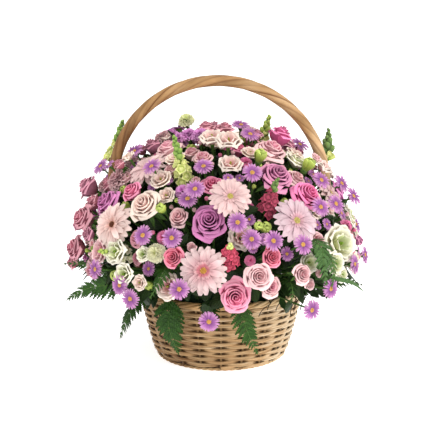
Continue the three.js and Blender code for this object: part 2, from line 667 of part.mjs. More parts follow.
// A stalk of four sides that opens into a blade cut to its rib: each leaflet is a pointed
// lobe that slants forward, and the blade is thickest along the rib.
function makeFrond({ path, width, pairs, roll }) {
  const points = path.map(([bearing, distance, height]) => (
    outward(bearing, 0).multiplyScalar(distance).setZ(height)));
  const line = new THREE.CatmullRomCurve3(points);
  const start = path.length > 4 ? 0.5 : 0.36;
  const level = outward(path.at(-1)[0], 0);
  const across = UPRIGHT.clone().cross(level);
  const at = (share) => {
    const centre = line.getPointAt(share);
    const axis = line.getTangentAt(share);
    const side = across.clone().addScaledVector(axis, -across.dot(axis)).normalize();
    side.applyAxisAngle(axis, radians(roll));
    return { centre, axis, side, top: side.clone().cross(axis).negate() };
  };
  const vertices = [];
  const faces = [];
  const add = (frame, sideways, upward, forward = 0) => {
    vertices.push(frame.centre.clone()
      .addScaledVector(frame.side, sideways)
      .addScaledVector(frame.top, upward)
      .addScaledVector(frame.axis, forward));
    return vertices.length - 1;
  };
  const band = (a, b) => {
    for (let i = 0; i < 4; i += 1) {
      const next = (i + 1) % 4;
      faces.push([a[i], a[next], b[next]], [a[i], b[next], b[i]]);
    }
  };
  let ring = null;
  const stalkSteps = path.length > 5 ? 5 : 3;
  for (let k = 0; k <= stalkSteps; k += 1) {
    const frame = at((start * k) / stalkSteps);
    const next = [[1, 0], [0, 1], [-1, 0], [0, -1]].map(([sideways, upward]) => (
      add(frame, FERN_STALK * sideways, FERN_STALK * upward)));
    if (ring) band(ring, next);
    else faces.push([next[0], next[2], next[1]], [next[0], next[3], next[2]]);
    ring = next;
  }
  for (let k = 0; k < pairs; k += 1) {
    const share = (k + 1) / pairs;
    const half = width * Math.sin(Math.PI * (0.18 + 0.8 * ((k + 0.4) / pairs))) ** 0.8;
    const tipFrame = at(start + (1 - start) * ((k + 0.5) / pairs));
    const frame = at(start + (1 - start) * share);
    const [right, top, left, bottom] = ring;
    const last = k === pairs - 1;
    const end = last ? add(frame, 0, 0) : null;
    const next = last ? [end, end, end, end] : [
      add(frame, 0.1 * half + 1, -0.3), add(frame, 0, 1),
      add(frame, -0.1 * half - 1, -0.3), add(frame, 0, -1),
    ];
    const tips = [1, -1].map((hand) => add(tipFrame, hand * half, -0.14 * half, 0.45 * half));
    faces.push([top, tips[0], right], [bottom, right, tips[0]]);
    faces.push([top, left, tips[1]], [bottom, tips[1], left]);
    if (last) {
      faces.push([top, end, tips[0]], [bottom, tips[0], end]);
      faces.push([top, tips[1], end], [bottom, end, tips[1]]);
    } else {
      faces.push([top, next[0], tips[0]], [top, next[1], next[0]]);
      faces.push([bottom, tips[0], next[0]], [bottom, next[0], next[3]]);
      faces.push([top, tips[1], next[2]], [top, next[2], next[1]]);
      faces.push([bottom, next[2], tips[1]], [bottom, next[3], next[2]]);
    }
    ring = next;
  }
  return { body: solid(vertices, faces), points };
}

function makeFern(fronds) {
  const grown = fronds.map(makeFrond);
  const { points } = grown[0];
  const axis = points[1].clone().sub(points[0]).normalize();
  standing.push({ foot: points[0], axis, right: UPRIGHT, radius: FERN_FOOT });
  return join(grown.map(({ body }) => body));
}

// ---------------------------------------------------------------- the whole arrangement

const arrangement = new THREE.Group();

arrangement.add(meshOf('basket', makeBasket(), finish(0xcfae7c, 0.7)));
arrangement.add(meshOf('handle', makeHandle(), finish(0xc2935c, 0.6)));
arrangement.add(meshOf('liner', makeLiner(), finish(0x35503a, 0.45)));

for (const spray of Object.keys(SPRAYS)) {
  const kind = SPRAYS[spray][0][0];
  arrangement.add(meshOf(spray, makeSpray(spray), finish(...BLOOMS[kind].finish)));
}
for (const [name, fronds] of Object.entries(FERNS)) {
  arrangement.add(meshOf(name, makeFern(fronds), finish(0x2c5a33, 0.65)));
}
arrangement.add(meshOf('foam', makeFoam(standing), finish(0x3d6b45, 0.95)));

export default arrangement;
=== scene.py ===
import math

import bpy
import numpy as np
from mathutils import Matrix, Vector


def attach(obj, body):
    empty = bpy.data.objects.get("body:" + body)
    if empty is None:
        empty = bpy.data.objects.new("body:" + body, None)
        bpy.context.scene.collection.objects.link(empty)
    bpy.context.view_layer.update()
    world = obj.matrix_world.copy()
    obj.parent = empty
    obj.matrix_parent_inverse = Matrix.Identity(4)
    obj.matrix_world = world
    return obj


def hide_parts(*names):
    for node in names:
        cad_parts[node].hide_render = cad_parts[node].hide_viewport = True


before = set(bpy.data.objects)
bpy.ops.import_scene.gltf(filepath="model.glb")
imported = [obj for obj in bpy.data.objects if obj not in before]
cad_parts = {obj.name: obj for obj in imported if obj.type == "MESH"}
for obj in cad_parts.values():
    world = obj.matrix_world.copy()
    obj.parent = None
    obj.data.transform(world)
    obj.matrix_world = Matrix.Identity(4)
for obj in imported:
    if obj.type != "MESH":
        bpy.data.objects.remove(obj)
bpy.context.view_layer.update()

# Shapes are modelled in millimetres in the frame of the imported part: +Z up, the front at -Y,
# the right at +X, and the origin at the centre of the basket's foot.

# ---------------------------------------------------------------- the basket
# A round willow basket. A pair of long weavers runs round 21 upright stakes, in front of one
# and behind the next, over a woven bottom, and twisted rods bind the foot and the rim. The
# stakes are tucked down into the rim, and nothing is glued or nailed.

foot_radius = 107
rim_radius = 140
rim_height = 120
stakes = 21
stake_radius = 1.9
cane_half_height = 1.75
cane_half_thickness = 1.15
row_pitch = 5.5
first_row = 5.2
weave_rows = 19
wall_top = rim_height - 8
wall_flare = 0.85
rim_inset = 4
lining_gap = 1.5
lining_thickness = 0.8


def wall_radius(height):
    """The outside of the weave at a height above the foot."""
    flared = (rim_radius - rim_inset - foot_radius) * (np.maximum(height, 0) / wall_top) ** wall_flare
    return foot_radius + flared


class Form:
    """A shape kept as arrays, to be copied. lie says how each point lies on its petal or rod:
    across it, along it, and a shade of its own. whorl is 0 at a bloom's heart and 1 outside."""

    def __init__(self, points, corners, counts, lie, whorl=None):
        self.points = points
        self.corners = corners
        self.counts = counts
        self.lie = lie
        self.whorl = np.zeros(len(points)) if whorl is None else whorl

    def placed(self, axes, origin=(0, 0, 0)):
        """A copy whose x, y and z run along the three axes, from the origin."""
        points = self.points @ np.array(axes) + np.array(origin)
        return Form(points, self.corners, self.counts, self.lie, self.whorl)

    def graded(self, whorl, shade):
        """A copy that belongs to another whorl and has a shade of its own."""
        lie = self.lie.copy()
        lie[:, 2] = shade
        return Form(self.points, self.corners, self.counts, lie, np.full(len(lie), whorl))


def merged(forms):
    """Several forms as one."""
    starts = np.cumsum([0] + [len(form.points) for form in forms])
    return Form(
        np.concatenate([form.points for form in forms]),
        np.concatenate([form.corners + start for form, start in zip(forms, starts)]),
        np.concatenate([form.counts for form in forms]),
        np.concatenate([form.lie for form in forms]),
        np.concatenate([form.whorl for form in forms]),
    )


def unit(vectors):
    """Each vector at length 1."""
    vectors = np.asarray(vectors, float)
    return vectors / np.linalg.norm(vectors, axis=-1, keepdims=True)


def distances(line):
    """How far along a line each of its points is."""
    return np.concatenate([[0], np.cumsum(np.linalg.norm(np.diff(line, axis=0), axis=1))])


def skin(rings, along, shade, ends=None):
    """A surface over rings of points. It closes in a point at each of its two ends, or, with
    none given, runs on from its last ring into its first."""
    count, sides = rings.shape[:2]
    i, j = np.meshgrid(np.arange(count - (ends is not None)), np.arange(sides), indexing="ij")
    after, beside = (i + 1) % count, (j + 1) % sides
    quads = np.stack([i * sides + j, i * sides + beside, after * sides + beside, after * sides + j], axis=-1)
    points = [rings.reshape(-1, 3)]
    corners = [quads.reshape(-1)]
    counts = [np.full(i.size, 4)]
    around = np.tile(np.arange(sides) / sides, count)
    lie = np.stack([around, np.repeat(along, sides), np.full(count * sides, shade)], axis=-1)
    if ends is not None:
        whole = count * sides
        ring = np.arange(sides)
        ahead = np.roll(ring, -1)
        last = whole - sides
        corners.append(np.stack([np.full(sides, whole), ahead, ring], axis=-1).reshape(-1))
        corners.append(np.stack([np.full(sides, whole + 1), last + ring, last + ahead], axis=-1).reshape(-1))
        counts.append(np.full(2 * sides, 3))
        points.append(ends)
        lie = np.concatenate([lie, [[0, 0, shade], [0, along[-1], shade]]])
    return Form(np.concatenate(points), np.concatenate(corners), np.concatenate(counts), lie)


def sweep(line, reach, section, upright=(0, 0, 1), twist=0.0, closed=False, shade=0.5):
    """A rod along a line of points. A section's points are (sideways, upward) times reach."""
    line = np.asarray(line, float)
    count = len(line)
    ahead = np.roll(line, -1, axis=0) - np.roll(line, 1, axis=0) if closed else np.gradient(line, axis=0)
    tangent = unit(ahead)
    side = unit(np.cross(np.asarray(upright, float), tangent))
    lift = np.cross(tangent, side)
    turn = np.broadcast_to(twist, count)[:, None]
    section = np.asarray(section, float)
    sideways = section[:, 0] * np.cos(turn) - section[:, 1] * np.sin(turn)
    upward = section[:, 0] * np.sin(turn) + section[:, 1] * np.cos(turn)
    reach = np.broadcast_to(reach, count)[:, None, None]
    rings = line[:, None] + reach * (sideways[..., None] * side[:, None] + upward[..., None] * lift[:, None])
    return skin(rings, distances(line), shade, None if closed else line[[0, -1]])


def full_turn(steps):
    """Evenly spaced turns, once round."""
    return np.arange(steps) * 2 * np.pi / steps


def round_section(sides):
    """A round rod's section."""
    turn = full_turn(sides)
    return np.stack([np.cos(turn), np.sin(turn)], axis=-1)


def ring_line(turn, radius, height):
    """Points round the basket's axis."""
    return np.stack([radius * np.sin(turn), -radius * np.cos(turn), height + 0 * turn], axis=-1)


def twisted_ring(strands, radius, height, spread, thick, twists, steps):
    """Rods twisted round each other into a level ring that closes on itself."""
    forms = []
    turn = full_turn(steps)
    for strand in range(strands):
        wind = twists * turn + strand * 2 * np.pi / strands
        line = ring_line(turn, radius + spread * np.cos(wind), height + spread * np.sin(wind))
        forms.append(sweep(line, thick, round_section(8), closed=True, shade=strand / strands))
    return merged(forms)


def smooth_step(low, high, value):
    """0 up to low, 1 from high on, and a smooth rise between them."""
    share = np.clip((value - low) / (high - low), 0, 1)
    return share * share * (3 - 2 * share)


def woven_wall():
    """The weavers' whole run, from the foot to the rim: two canes, one above the other. Their
    whorl holds a painted shade, darker behind the stakes and along the edges between rows.
    """
    steps = 8 * stakes * weave_rows
    turn = np.linspace(0, 2 * np.pi * weave_rows, steps)
    wave = np.cos(turn * stakes / 2)
    section = round_section(8) * (cane_half_thickness, cane_half_height)
    edge = np.append(np.tile(np.abs(section[:, 1]) / cane_half_height, steps), [0, 0])
    forms = []
    for cane in (0, 1):
        sag = 0.3 * np.sin(1.7 * turn + 2 * cane) + 0.25 * np.sin(5.3 * turn + cane)
        height = first_row + row_pitch * (turn / (2 * np.pi) + 0.5 * cane - 0.25) + sag
        reach = stake_radius + cane_half_thickness
        middle = wall_radius(height) - reach
        radius = middle + reach * np.sign(wave) * np.abs(wave) ** 1.4
        uneven = 1 + 0.1 * np.sin(turn * 3.3 + 2 * cane) + 0.07 * np.sin(turn * 7.7 + cane)
        form = sweep(ring_line(turn, radius, height), uneven, section, shade=0.7 * cane)
        # Painted shade: a cane is tinted dark where it passes behind a stake.
        painted_stake_shade = 0.14 + 0.86 * smooth_step(-1.0, -0.5, wave)
        row = 0.95 + 0.17 * np.sin(0.9 * turn + 2.5 * cane)
        # More painted shade: each cane's upper and lower edges, between the rows, are darker; row is a tone
        # that differs from row to row.
        form.whorl = np.append(np.repeat(painted_stake_shade * row, len(section)), [1, 1]) * (1 - 0.42 * edge**4)
        forms.append(form)
    return merged(forms)


def shaded_backing_wall():
    """The inside of the wall, behind the stakes: a sheet tinted dark as painted shade, since no light comes
    through the weave.
    """
    height = np.linspace(1, wall_top - 1, 14)
    inward = foot_radius - wall_radius(height) + 2 * (stake_radius + cane_half_thickness) + lining_gap
    outside = np.stack([inward, height], axis=-1)
    section = np.concatenate([outside + (lining_thickness, 0), outside[::-1]])
    return sweep(ring_line(full_turn(96), foot_radius, 0), 1.0, section, closed=True)


def upright_stakes():
    """The stakes, from the bottom to the rim."""
    height = np.linspace(3, wall_top, 16)
    forms = []
    for stake in range(stakes):
        turn = stake * 2 * np.pi / stakes + 0 * height
        radius = wall_radius(height) - stake_radius - cane_half_thickness
        line = ring_line(turn, radius, height)
        forms.append(sweep(line, stake_radius, round_section(8), (0.3, 0.2, 0), shade=stake / stakes))
    return merged(forms)


def woven_bottom():
    """Sticks that cross under the floor, and the round weave on them."""
    sticks = 16
    rounds = 17
    height = 4.0
    reach = foot_radius - 5
    first_round, last_round = 12, reach - 7
    forms = []
    for turn in full_turn(sticks)[:sticks // 2]:
        across = np.linspace(-reach, reach, 14)
        line = np.stack([across * np.sin(turn), across * np.cos(turn), height + 0 * across], axis=-1)
        forms.append(sweep(line, 1.4, round_section(8), shade=turn / (2 * np.pi)))
    turn = np.linspace(0, 2 * np.pi * rounds, 48 * rounds)
    radius = first_round + (last_round - first_round) * turn / turn[-1]
    wave = 1.5 * np.cos(turn * (sticks + 1) / 2)
    forms.append(sweep(ring_line(turn, radius, height + wave), 1.0, round_section(8) * (2.7, 1.0)))
    return merged(forms)


def feed(slot, value):
    """Links a wire to an input, or sets the input's own value."""
    if isinstance(value, Wire):
        slot.id_data.links.new(value.socket, slot)
    else:
        slot.default_value = value


class Wire:
    """A value in a material. Sums, differences, products and powers of wires add Math nodes."""

    def __init__(self, socket):
        self.socket = socket

    def maths(self, operation, first, second):
        """A Math node on two wires or numbers."""
        node = self.socket.id_data.nodes.new("ShaderNodeMath")
        node.operation = operation
        feed(node.inputs[0], first)
        feed(node.inputs[1], second)
        return Wire(node.outputs[0])

    def __add__(self, other):
        return self.maths("ADD", self, other)

    def __sub__(self, other):
        return self.maths("SUBTRACT", self, other)

    def __rsub__(self, other):
        return self.maths("SUBTRACT", other, self)

    def __mul__(self, other):
        return self.maths("MULTIPLY", self, other)

    def __pow__(self, other):
        return self.maths("POWER", self, other)

    __radd__ = __add__
    __rmul__ = __mul__


class Finish:
    """A material: one surface, and the nodes that vary it from place to place."""

    def __init__(self, name, **constants):
        self.material = bpy.data.materials.new(name)
        self.material.use_nodes = True
        self.surface = self.material.node_tree.nodes["Principled BSDF"]
        for socket, value in constants.items():
            feed(self.surface.inputs[socket.replace("_", " ")], value)

    def node(self, kind, settings, inputs, output=0):
        """A node of any kind: its settings first, then the values or wires of its inputs."""
        node = self.material.node_tree.nodes.new("ShaderNode" + kind)
        for setting, value in settings.items():
            setattr(node, setting, value)
        for slot, value in inputs.items():
            feed(node.inputs[slot], value)
        return Wire(node.outputs[output])

    def mix(self, share, first, second, blend="MIX"):
        """Two colours mixed or multiplied."""
        settings = {"data_type": "RGBA", "blend_type": blend}
        return self.node("Mix", settings, {0: share, 6: first, 7: second}, output=2)

    def attribute(self, name, output):
        """A value of the piece's own points."""
        return self.node("Attribute", {"attribute_name": name}, {}, output=output)

    def lie(self):
        """Across, along and shade of the point that is shaded."""
        vector = self.attribute("lie", "Vector")
        return [self.node("SeparateXYZ", {}, {0: vector}, output=k) for k in range(3)]

    def place(self):
        """Where the point that is shaded is, in metres."""
        return self.node("TexCoord", {}, {}, output="Object")

    def noise(self, x, y, z, scale=1.0, detail=2.0):
        """Cloudy noise over three values."""
        place = self.node("CombineXYZ", {}, {0: x, 1: y, 2: z})
        return self.node("TexNoise", {}, {"Vector": place, "Scale": scale, "Detail": detail})

    def ramp(self, share, *stops):
        """A colour for each stop, a place and a colour, blended between them."""
        node = self.material.node_tree.nodes.new("ShaderNodeValToRGB")
        band = node.color_ramp
        while len(band.elements) < len(stops):
            band.elements.new(1.0)
        for element, (place, shade) in zip(band.elements, stops):
            element.position = place
            element.color = shade
        feed(node.inputs[0], share)
        return Wire(node.outputs[0])

    def bump(self, height, depth, strength=0.5):
        """Raises the surface by the height, up to depth metres."""
        inputs = {"Height": height, "Distance": depth, "Strength": strength}
        feed(self.surface.inputs["Normal"], self.node("Bump", {}, inputs))

    def paint(self, colour):
        """The surface's own colour."""
        feed(self.surface.inputs["Base Color"], colour)


def tone(code):
    """A colour written as six hexadecimal digits, in the linear values that Blender uses."""
    parts = [int(code[k:k + 2], 16) / 255 for k in (0, 2, 4)]
    return (*[p / 12.92 if p <= 0.04045 else ((p + 0.055) / 1.055) ** 2.4 for p in parts], 1.0)


def willow(name, light, honey, brown, grain, side_light=0.0):
    """Peeled willow: fibres that run along the rod, patches where it is darker, and painted light:
    the right side, +X, is painted lighter and the left darker, as the light falls on it."""
    finish = Finish(name, Roughness=0.5, Specular_IOR_Level=0.25)
    around, along, shade = finish.lie()
    fibre = finish.noise(around * 9, along * grain, shade * 30, detail=4)
    patch = finish.noise(along * 0.02, around * 0.6, shade * 40)
    place = finish.place()
    region = finish.node("TexNoise", {}, {"Vector": place, "Scale": 6.5, "Detail": 1.5})
    side = finish.node("SeparateXYZ", {}, {0: place})
    # Painted light: the last term makes the right side, +X, lighter and the left darker.
    share = patch * 0.55 + fibre * 0.3 + region * 0.75 - 0.3 - side_light * side
    wood = finish.ramp(share, (0.22, tone(light)), (0.5, tone(honey)), (0.8, tone(brown)))
    tint = finish.attribute("tint", "Color")
    finish.paint(finish.mix(1.0, wood, tint, "MULTIPLY"))
    feed(finish.surface.inputs["Roughness"], 0.42 + fibre * 0.25)
    finish.bump(fibre, 0.0006, 0.4)
    return finish.material


def make_piece(name, parts):
    """One mesh in metres out of parts: a form, its tint and its material each."""
    forms = [form for form, _, _ in parts]
    whole = merged(forms)
    mesh = bpy.data.meshes.new(name)
    mesh.vertices.add(len(whole.points))
    mesh.vertices.foreach_set("co", (whole.points / 1000).astype(np.float32).reshape(-1))
    mesh.loops.add(len(whole.corners))
    mesh.loops.foreach_set("vertex_index", whole.corners.astype(np.int32))
    mesh.polygons.add(len(whole.counts))
    starts = np.concatenate([[0], np.cumsum(whole.counts)[:-1]])
    mesh.polygons.foreach_set("loop_start", starts.astype(np.int32))
    materials = []
    for _, _, material in parts:
        if material not in materials:
            materials.append(material)
    for material in materials:
        mesh.materials.append(material)
    slots = [np.full(len(form.counts), materials.index(material)) for form, _, material in parts]
    mesh.polygons.foreach_set("material_index", np.concatenate(slots).astype(np.int32))
    mesh.update(calc_edges=True)
    tints = [np.broadcast_to(tint, (len(form.points), 3)) for form, tint, _ in parts]
    tint = np.concatenate([np.concatenate(tints), np.ones((len(whole.points), 1))], axis=1)
    mesh.attributes.new("tint", "FLOAT_COLOR", "POINT").data.foreach_set(
        "color", tint.astype(np.float32).reshape(-1))
    mesh.attributes.new("lie", "FLOAT_VECTOR", "POINT").data.foreach_set(
        "vector", whole.lie.astype(np.float32).reshape(-1))
    piece = bpy.data.objects.new(name, mesh)
    bpy.context.scene.collection.objects.link(piece)
    bpy.ops.object.select_all(action="DESELECT")
    piece.select_set(True)
    bpy.context.view_layer.objects.active = piece
    bpy.ops.object.shade_smooth_by_angle(angle=math.radians(50))
    return piece


# Painted light: the weave's willow is lighter on its right side and darker on its left.
weave_willow = willow("weave_willow", "ECDEC4", "C2A278", "6E4A28", 0.06, side_light=2.2)
white = (1.0, 1.0, 1.0)
rim_rods = twisted_ring(strands=4, radius=134.6, height=114.4, spread=2.9, thick=2.6, twists=11, steps=420)
foot_rods = twisted_ring(strands=2, radius=105.0, height=2.9, spread=0.8, thick=1.8, twists=30, steps=400)
weave = woven_wall()
ruddy = 0.5 + 0.5 * np.sin(weave.lie[:, 1:2] * 0.0047 + 2.7 * weave.lie[:, 2:])
# The weave's tint: the painted shade held in its whorl, browner where it is darker, times a ruddy tone along
# each cane.
weave_tint = np.clip(weave.whorl[:, None], 0, 1) ** (0.85, 1.0, 1.2) * (1 - ruddy * (0, 0.08, 0.17))
basket = make_piece("woven_basket", [
    (weave, weave_tint, weave_willow),
    # Near-black tint: painted shade behind the gaps in the weave.
    (shaded_backing_wall(), (0.2, 0.15, 0.1), weave_willow),
    # The stakes are tinted darker as painted shade, where they show in the gaps of the weave.
    (upright_stakes(), (0.4, 0.35, 0.28), weave_willow),
    (woven_bottom(), tone("D8C6A4")[:3], weave_willow),
    (foot_rods, (0.95, 0.93, 0.88), weave_willow),
    (rim_rods, tone("F2E6CF")[:3], weave_willow),
])
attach(basket, "root")
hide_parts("basket")

# ---------------------------------------------------------------- the handle
# A hoop of five willow rods twisted together into one smooth rope. Its two ends are pushed
# down between the weave and the liner, where the weave grips them.

hoop_radius = 172
hoop_height = 277
hoop_lean = -5
handle_radius = 9.3
handle_foot_radius = 6.1
handle_rods = 5
rod_lights = (1.0, 0.84, 1.1, 0.9, 1.02)
handle_twist = -34
handle_steps = 260
swell_heights = (90, 260)  # where the rope grows from its thin foot to its full thickness
lean_heights = (130, 420)
groove_depths = (1.0, 0.3, 0.75, 0.4, 0.6)
handle_leg = [(103.5, 40), (110.5, 75), (116.8, 113), (122, 131), (139.5, 153), (155, 188), (168, 232)]


def smooth_line(points, count):
    """Evenly spaced points on a smooth curve through the given ones."""
    points = np.asarray(points, float)
    reach = distances(points)
    slope = np.gradient(points, reach, axis=0)
    place = np.linspace(0, reach[-1], count)
    k = np.clip(np.searchsorted(reach, place, side="right") - 1, 0, len(points) - 2)
    gap = (reach[k + 1] - reach[k])[:, None]
    t = (place - reach[k])[:, None] / gap
    return ((2 * t**3 - 3 * t**2 + 1) * points[k] + (t**3 - 2 * t**2 + t) * gap * slope[k]
            + (3 * t**2 - 2 * t**3) * points[k + 1] + (t**3 - t**2) * gap * slope[k + 1])


def rope_section(rods, fine):
    """A round section with a groove between each two rods, some of them shallow."""
    turn = full_turn(rods * fine)
    between = np.rint(np.arange(rods * fine) / fine).astype(int) % rods
    depth = np.array(groove_depths)[between]
    groove = depth * (1 - np.abs(np.sin(turn * rods / 2))) ** 2.2
    return round_section(rods * fine) * (1 - 0.14 * groove)[:, None], groove


leg = [(x, 0, z) for x, z in handle_leg]
arc = [math.radians(turn) for turn in range(0, 181, 15)]
crown = [(hoop_radius * math.cos(turn), 0, hoop_height + hoop_radius * math.sin(turn)) for turn in arc]
other_leg = [(-x, 0, z) for x, _, z in reversed(leg)]
handle_line = smooth_line(leg + crown + other_leg, handle_steps)
handle_line[:, 0] += hoop_lean * smooth_step(*lean_heights, handle_line[:, 2])
swell = smooth_step(*swell_heights, handle_line[:, 2])
handle_thick = 0.97 * (handle_foot_radius + (handle_radius - handle_foot_radius) * swell)
section, groove = rope_section(handle_rods, 8)
twist = np.linspace(0, handle_twist, handle_steps)
rope = sweep(handle_line, handle_thick, section, upright=(0, 1, 0), twist=twist)
# Each rod has a tone of its own, and the grooves between the rods are darkened as painted shade.
rod_tint = np.repeat(rod_lights, 8)[:, None] * (1 - groove[:, None] * (0.62, 0.74, 0.8))
rope_tint = np.concatenate([np.tile(rod_tint, (handle_steps, 1)), np.ones((2, 3))])
# Painted light: the handle's willow is lighter on its right side and darker on its left.
handle_willow = willow("handle_willow", "CDAC84", "A88256", "6C4624", 0.03, side_light=1.3)
handle = make_piece("twisted_handle", [(rope, rope_tint, handle_willow)])
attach(handle, "root")
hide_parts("handle")

# ---------------------------------------------------------------- the liner and the foam
# A thin bucket of dark green plastic keeps the water in. A block of wet floral foam fills it
# and is cut to a dome above it, and every stem is pushed into the foam.

liner_foot_radius = 88
liner_top_radius = 107.5
liner_height = 102
liner_floor = 7.3
foam_foot_radius = 84
foam_radius = 102.5
foam_shoulder = 100
foam_dome = 65
foam_floor = 9.6


def turned(profile, sides):
    """A round body on the Z axis through rings of (radius, height)."""
    radii, heights = np.array(profile, float).T
    flat = np.concatenate([round_section(sides), np.zeros((sides, 1))], axis=1)
    line = np.outer(heights, (0, 0, 1))
    rings = line[:, None] + radii[:, None, None] * flat
    return skin(rings, np.linspace(0, 1, len(profile)), 0.5, line[[0, -1]])


wall = 1.8
liner_form = turned([
    (liner_foot_radius - 3, liner_floor), (liner_foot_radius, liner_floor + 3),
    (liner_top_radius - 0.6, liner_height - 5), (liner_top_radius + 1.2, liner_height - 2.5),
    (liner_top_radius + 1.2, liner_height - 0.6), (liner_top_radius - 0.4, liner_height),
    (liner_top_radius - wall - 0.6, liner_height - 4), (liner_foot_radius - wall, liner_floor + 4),
    (liner_foot_radius - wall - 3, liner_floor + wall),
], 72)
plastic = Finish("liner_plastic", Roughness=0.5)
swirl = plastic.node("TexNoise", {}, {"Vector": plastic.place(), "Scale": 60.0})
plastic.paint(plastic.ramp(swirl, (0.3, tone("26402C")), (0.7, tone("35553B"))))
plastic.bump(swirl, 0.0004, 0.2)
liner = make_piece("plastic_liner", [(liner_form, white, plastic.material)])
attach(liner, "root")
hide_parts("liner")

dome = [math.radians(slope) for slope in range(0, 90, 6)]
foam_form = turned(
    [(foam_foot_radius, foam_floor), (foam_radius, foam_shoulder)]
    + [(foam_radius * math.cos(s), foam_shoulder + foam_dome * math.sin(s)) for s in dome[1:]], 64)
wet = Finish("wet_foam", Roughness=0.92)
spot = wet.place()
pores = wet.node("TexVoronoi", {}, {"Vector": spot, "Scale": 420.0})
cloud = wet.node("TexNoise", {}, {"Vector": spot, "Scale": 30.0, "Detail": 3.0})
wet.paint(wet.ramp(cloud, (0.3, tone("16301D")), (0.7, tone("2C5234"))))
wet.bump(pores, 0.0012, 0.8)
foam = make_piece("foam_block", [(foam_form, white, wet.material)])
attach(foam, "root")
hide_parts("foam")

# ---------------------------------------------------------------- buds
# Closed flower buds, lime green, white and pink: five broad petals wrapped round each other,
# in a small green cup on a thin stalk. Most are tucked in between the open blooms.

golden = math.radians(137.508)


def petal(across, along, shape, thickness, whorl=0.0, shade=0.5):
    """A petal or leaf: a grid whose points shape(u, v) places, thickened to a closed blade.
    u runs from -1 to 1 across it and v from 0 to 1 from its base to its lip."""
    bpy.ops.mesh.primitive_grid_add(x_subdivisions=across, y_subdivisions=along, size=2)
    blade = bpy.context.object
    flat = np.empty(3 * len(blade.data.vertices), np.float32)
    blade.data.vertices.foreach_get("co", flat)
    u, v = flat[0::3].astype(float), (flat[1::3].astype(float) + 1) / 2
    placed = np.stack(np.broadcast_arrays(*shape(u, v)), axis=-1)
    blade.data.vertices.foreach_set("co", placed.astype(np.float32).reshape(-1))
    thick = blade.modifiers.new("thickness", "SOLIDIFY")
    thick.thickness = thickness
    thick.offset = 0
    bpy.ops.object.modifier_apply(modifier="thickness")
    form = taken(blade)
    lie = np.stack([u, v, np.full(len(u), shade)], axis=-1)
    form.lie = np.tile(lie, (len(form.points) // len(lie), 1))
    form.whorl = np.full(len(form.points), whorl)
    return form


def taken(model):
    """The mesh of a modelled object as a form; the object goes."""
    mesh = model.data
    points = np.empty(3 * len(mesh.vertices), np.float32)
    mesh.vertices.foreach_get("co", points)
    corners = np.empty(len(mesh.loops), np.int32)
    mesh.loops.foreach_get("vertex_index", corners)
    counts = np.empty(len(mesh.polygons), np.int32)
    mesh.polygons.foreach_get("loop_total", counts)
    bpy.data.objects.remove(model)
    bpy.data.meshes.remove(mesh)
    points = points.reshape(-1, 3).astype(float)
    return Form(points, corners, counts, np.zeros_like(points))


def about(turn, tilt=0.0, size=1.0):
    """Axes turned about Z after a tilt that lifts the X axis."""
    cos, sin = math.cos(turn), math.sin(turn)
    lift, flat = math.sin(tilt), math.cos(tilt)
    x = np.array([cos * flat, sin * flat, lift])
    y = np.array([-sin, cos, 0])
    return size * np.array([x, y, np.cross(x, y)])


def cupped(turn, half, base, lip, roll=0.0, bow=0.8, point=0.0, ruffle=0.0, phase=0.0):
    """The shape of a cupped petal that stands about the Z axis. base and lip are (radius,
    height); half is its half angle, roll turns its lip out, and point draws the lip's middle up."""
    def shape(u, v):
        up = 1 - (1 - v) ** 1.7
        widen = np.sin(np.pi * (0.16 + 0.66 * up)) ** 0.8
        angle = turn + half * u * widen
        rise = np.sin(up * np.pi / 2) ** bow
        curl = np.clip((up - 0.72) / 0.28, 0, 1)
        frill = ruffle * np.sin(5 * u + phase) * up**3
        radius = base[0] + (lip[0] - base[0]) * rise + roll * curl + 0.04 * u * up + frill
        height = base[1] + (lip[1] - base[1]) * np.minimum(up / 0.86, 1) - 0.9 * roll * curl**2.2
        height = height - (0.05 + point) * u**2 * up**3 * (lip[1] - base[1]) + 0.6 * frill
        return radius * np.cos(angle), radius * np.sin(angle), height
    return shape


def bud_forms():
    """A bud of size 1: its petals and its green cup."""
    wraps = []
    for k in range(5):
        outer = k / 4
        shape = cupped(k * golden, math.radians(80), (0.25, -1.6), (0.12 + 0.1 * outer, 0.5 - 0.35 * outer))
        swollen = bulging(shape, 0.55 + 0.1 * outer)
        wraps.append(petal(5, 6, swollen, 0.05, whorl=outer, shade=k * 0.37 % 1))
    cup = turned([(0.12, -2.1), (0.4, -1.85), (0.5, -1.45), (0.4, -1.3)], 10)
    return {"petal": merged(wraps), "green": cup}


def bulging(shape, girth):
    """The same shape, swollen round its middle."""
    def fuller(u, v):
        x, y, z = shape(u, v)
        swell = 1 + girth * np.sin(np.pi * v) / np.maximum(np.hypot(x, y), 0.2)
        return x * swell, y * swell, z
    return fuller


def petal_finish(name, veins, streak, gloss=0.55):
    """A soft petal: its own tint, fine veins from base to lip, and a faint mottling."""
    finish = Finish(name, Roughness=gloss, Specular_IOR_Level=0.2)
    across, along, shade = finish.lie()
    vein = finish.noise(across * veins, along * 1.2, shade * 60, detail=3)
    mottle = finish.noise(across * 2, along * 3, shade * 90, scale=1.5)
    tint = finish.attribute("tint", "Color")
    shaded = finish.mix(vein * streak, tint, finish.mix(1.0, tint, tint, "MULTIPLY"))
    finish.paint(finish.mix(mottle * 0.07, shaded, (1, 1, 1, 1)))
    feed(finish.surface.inputs["Roughness"], gloss + 0.2 * mottle)
    finish.bump(vein, 0.0004, 0.5)
    return finish.material


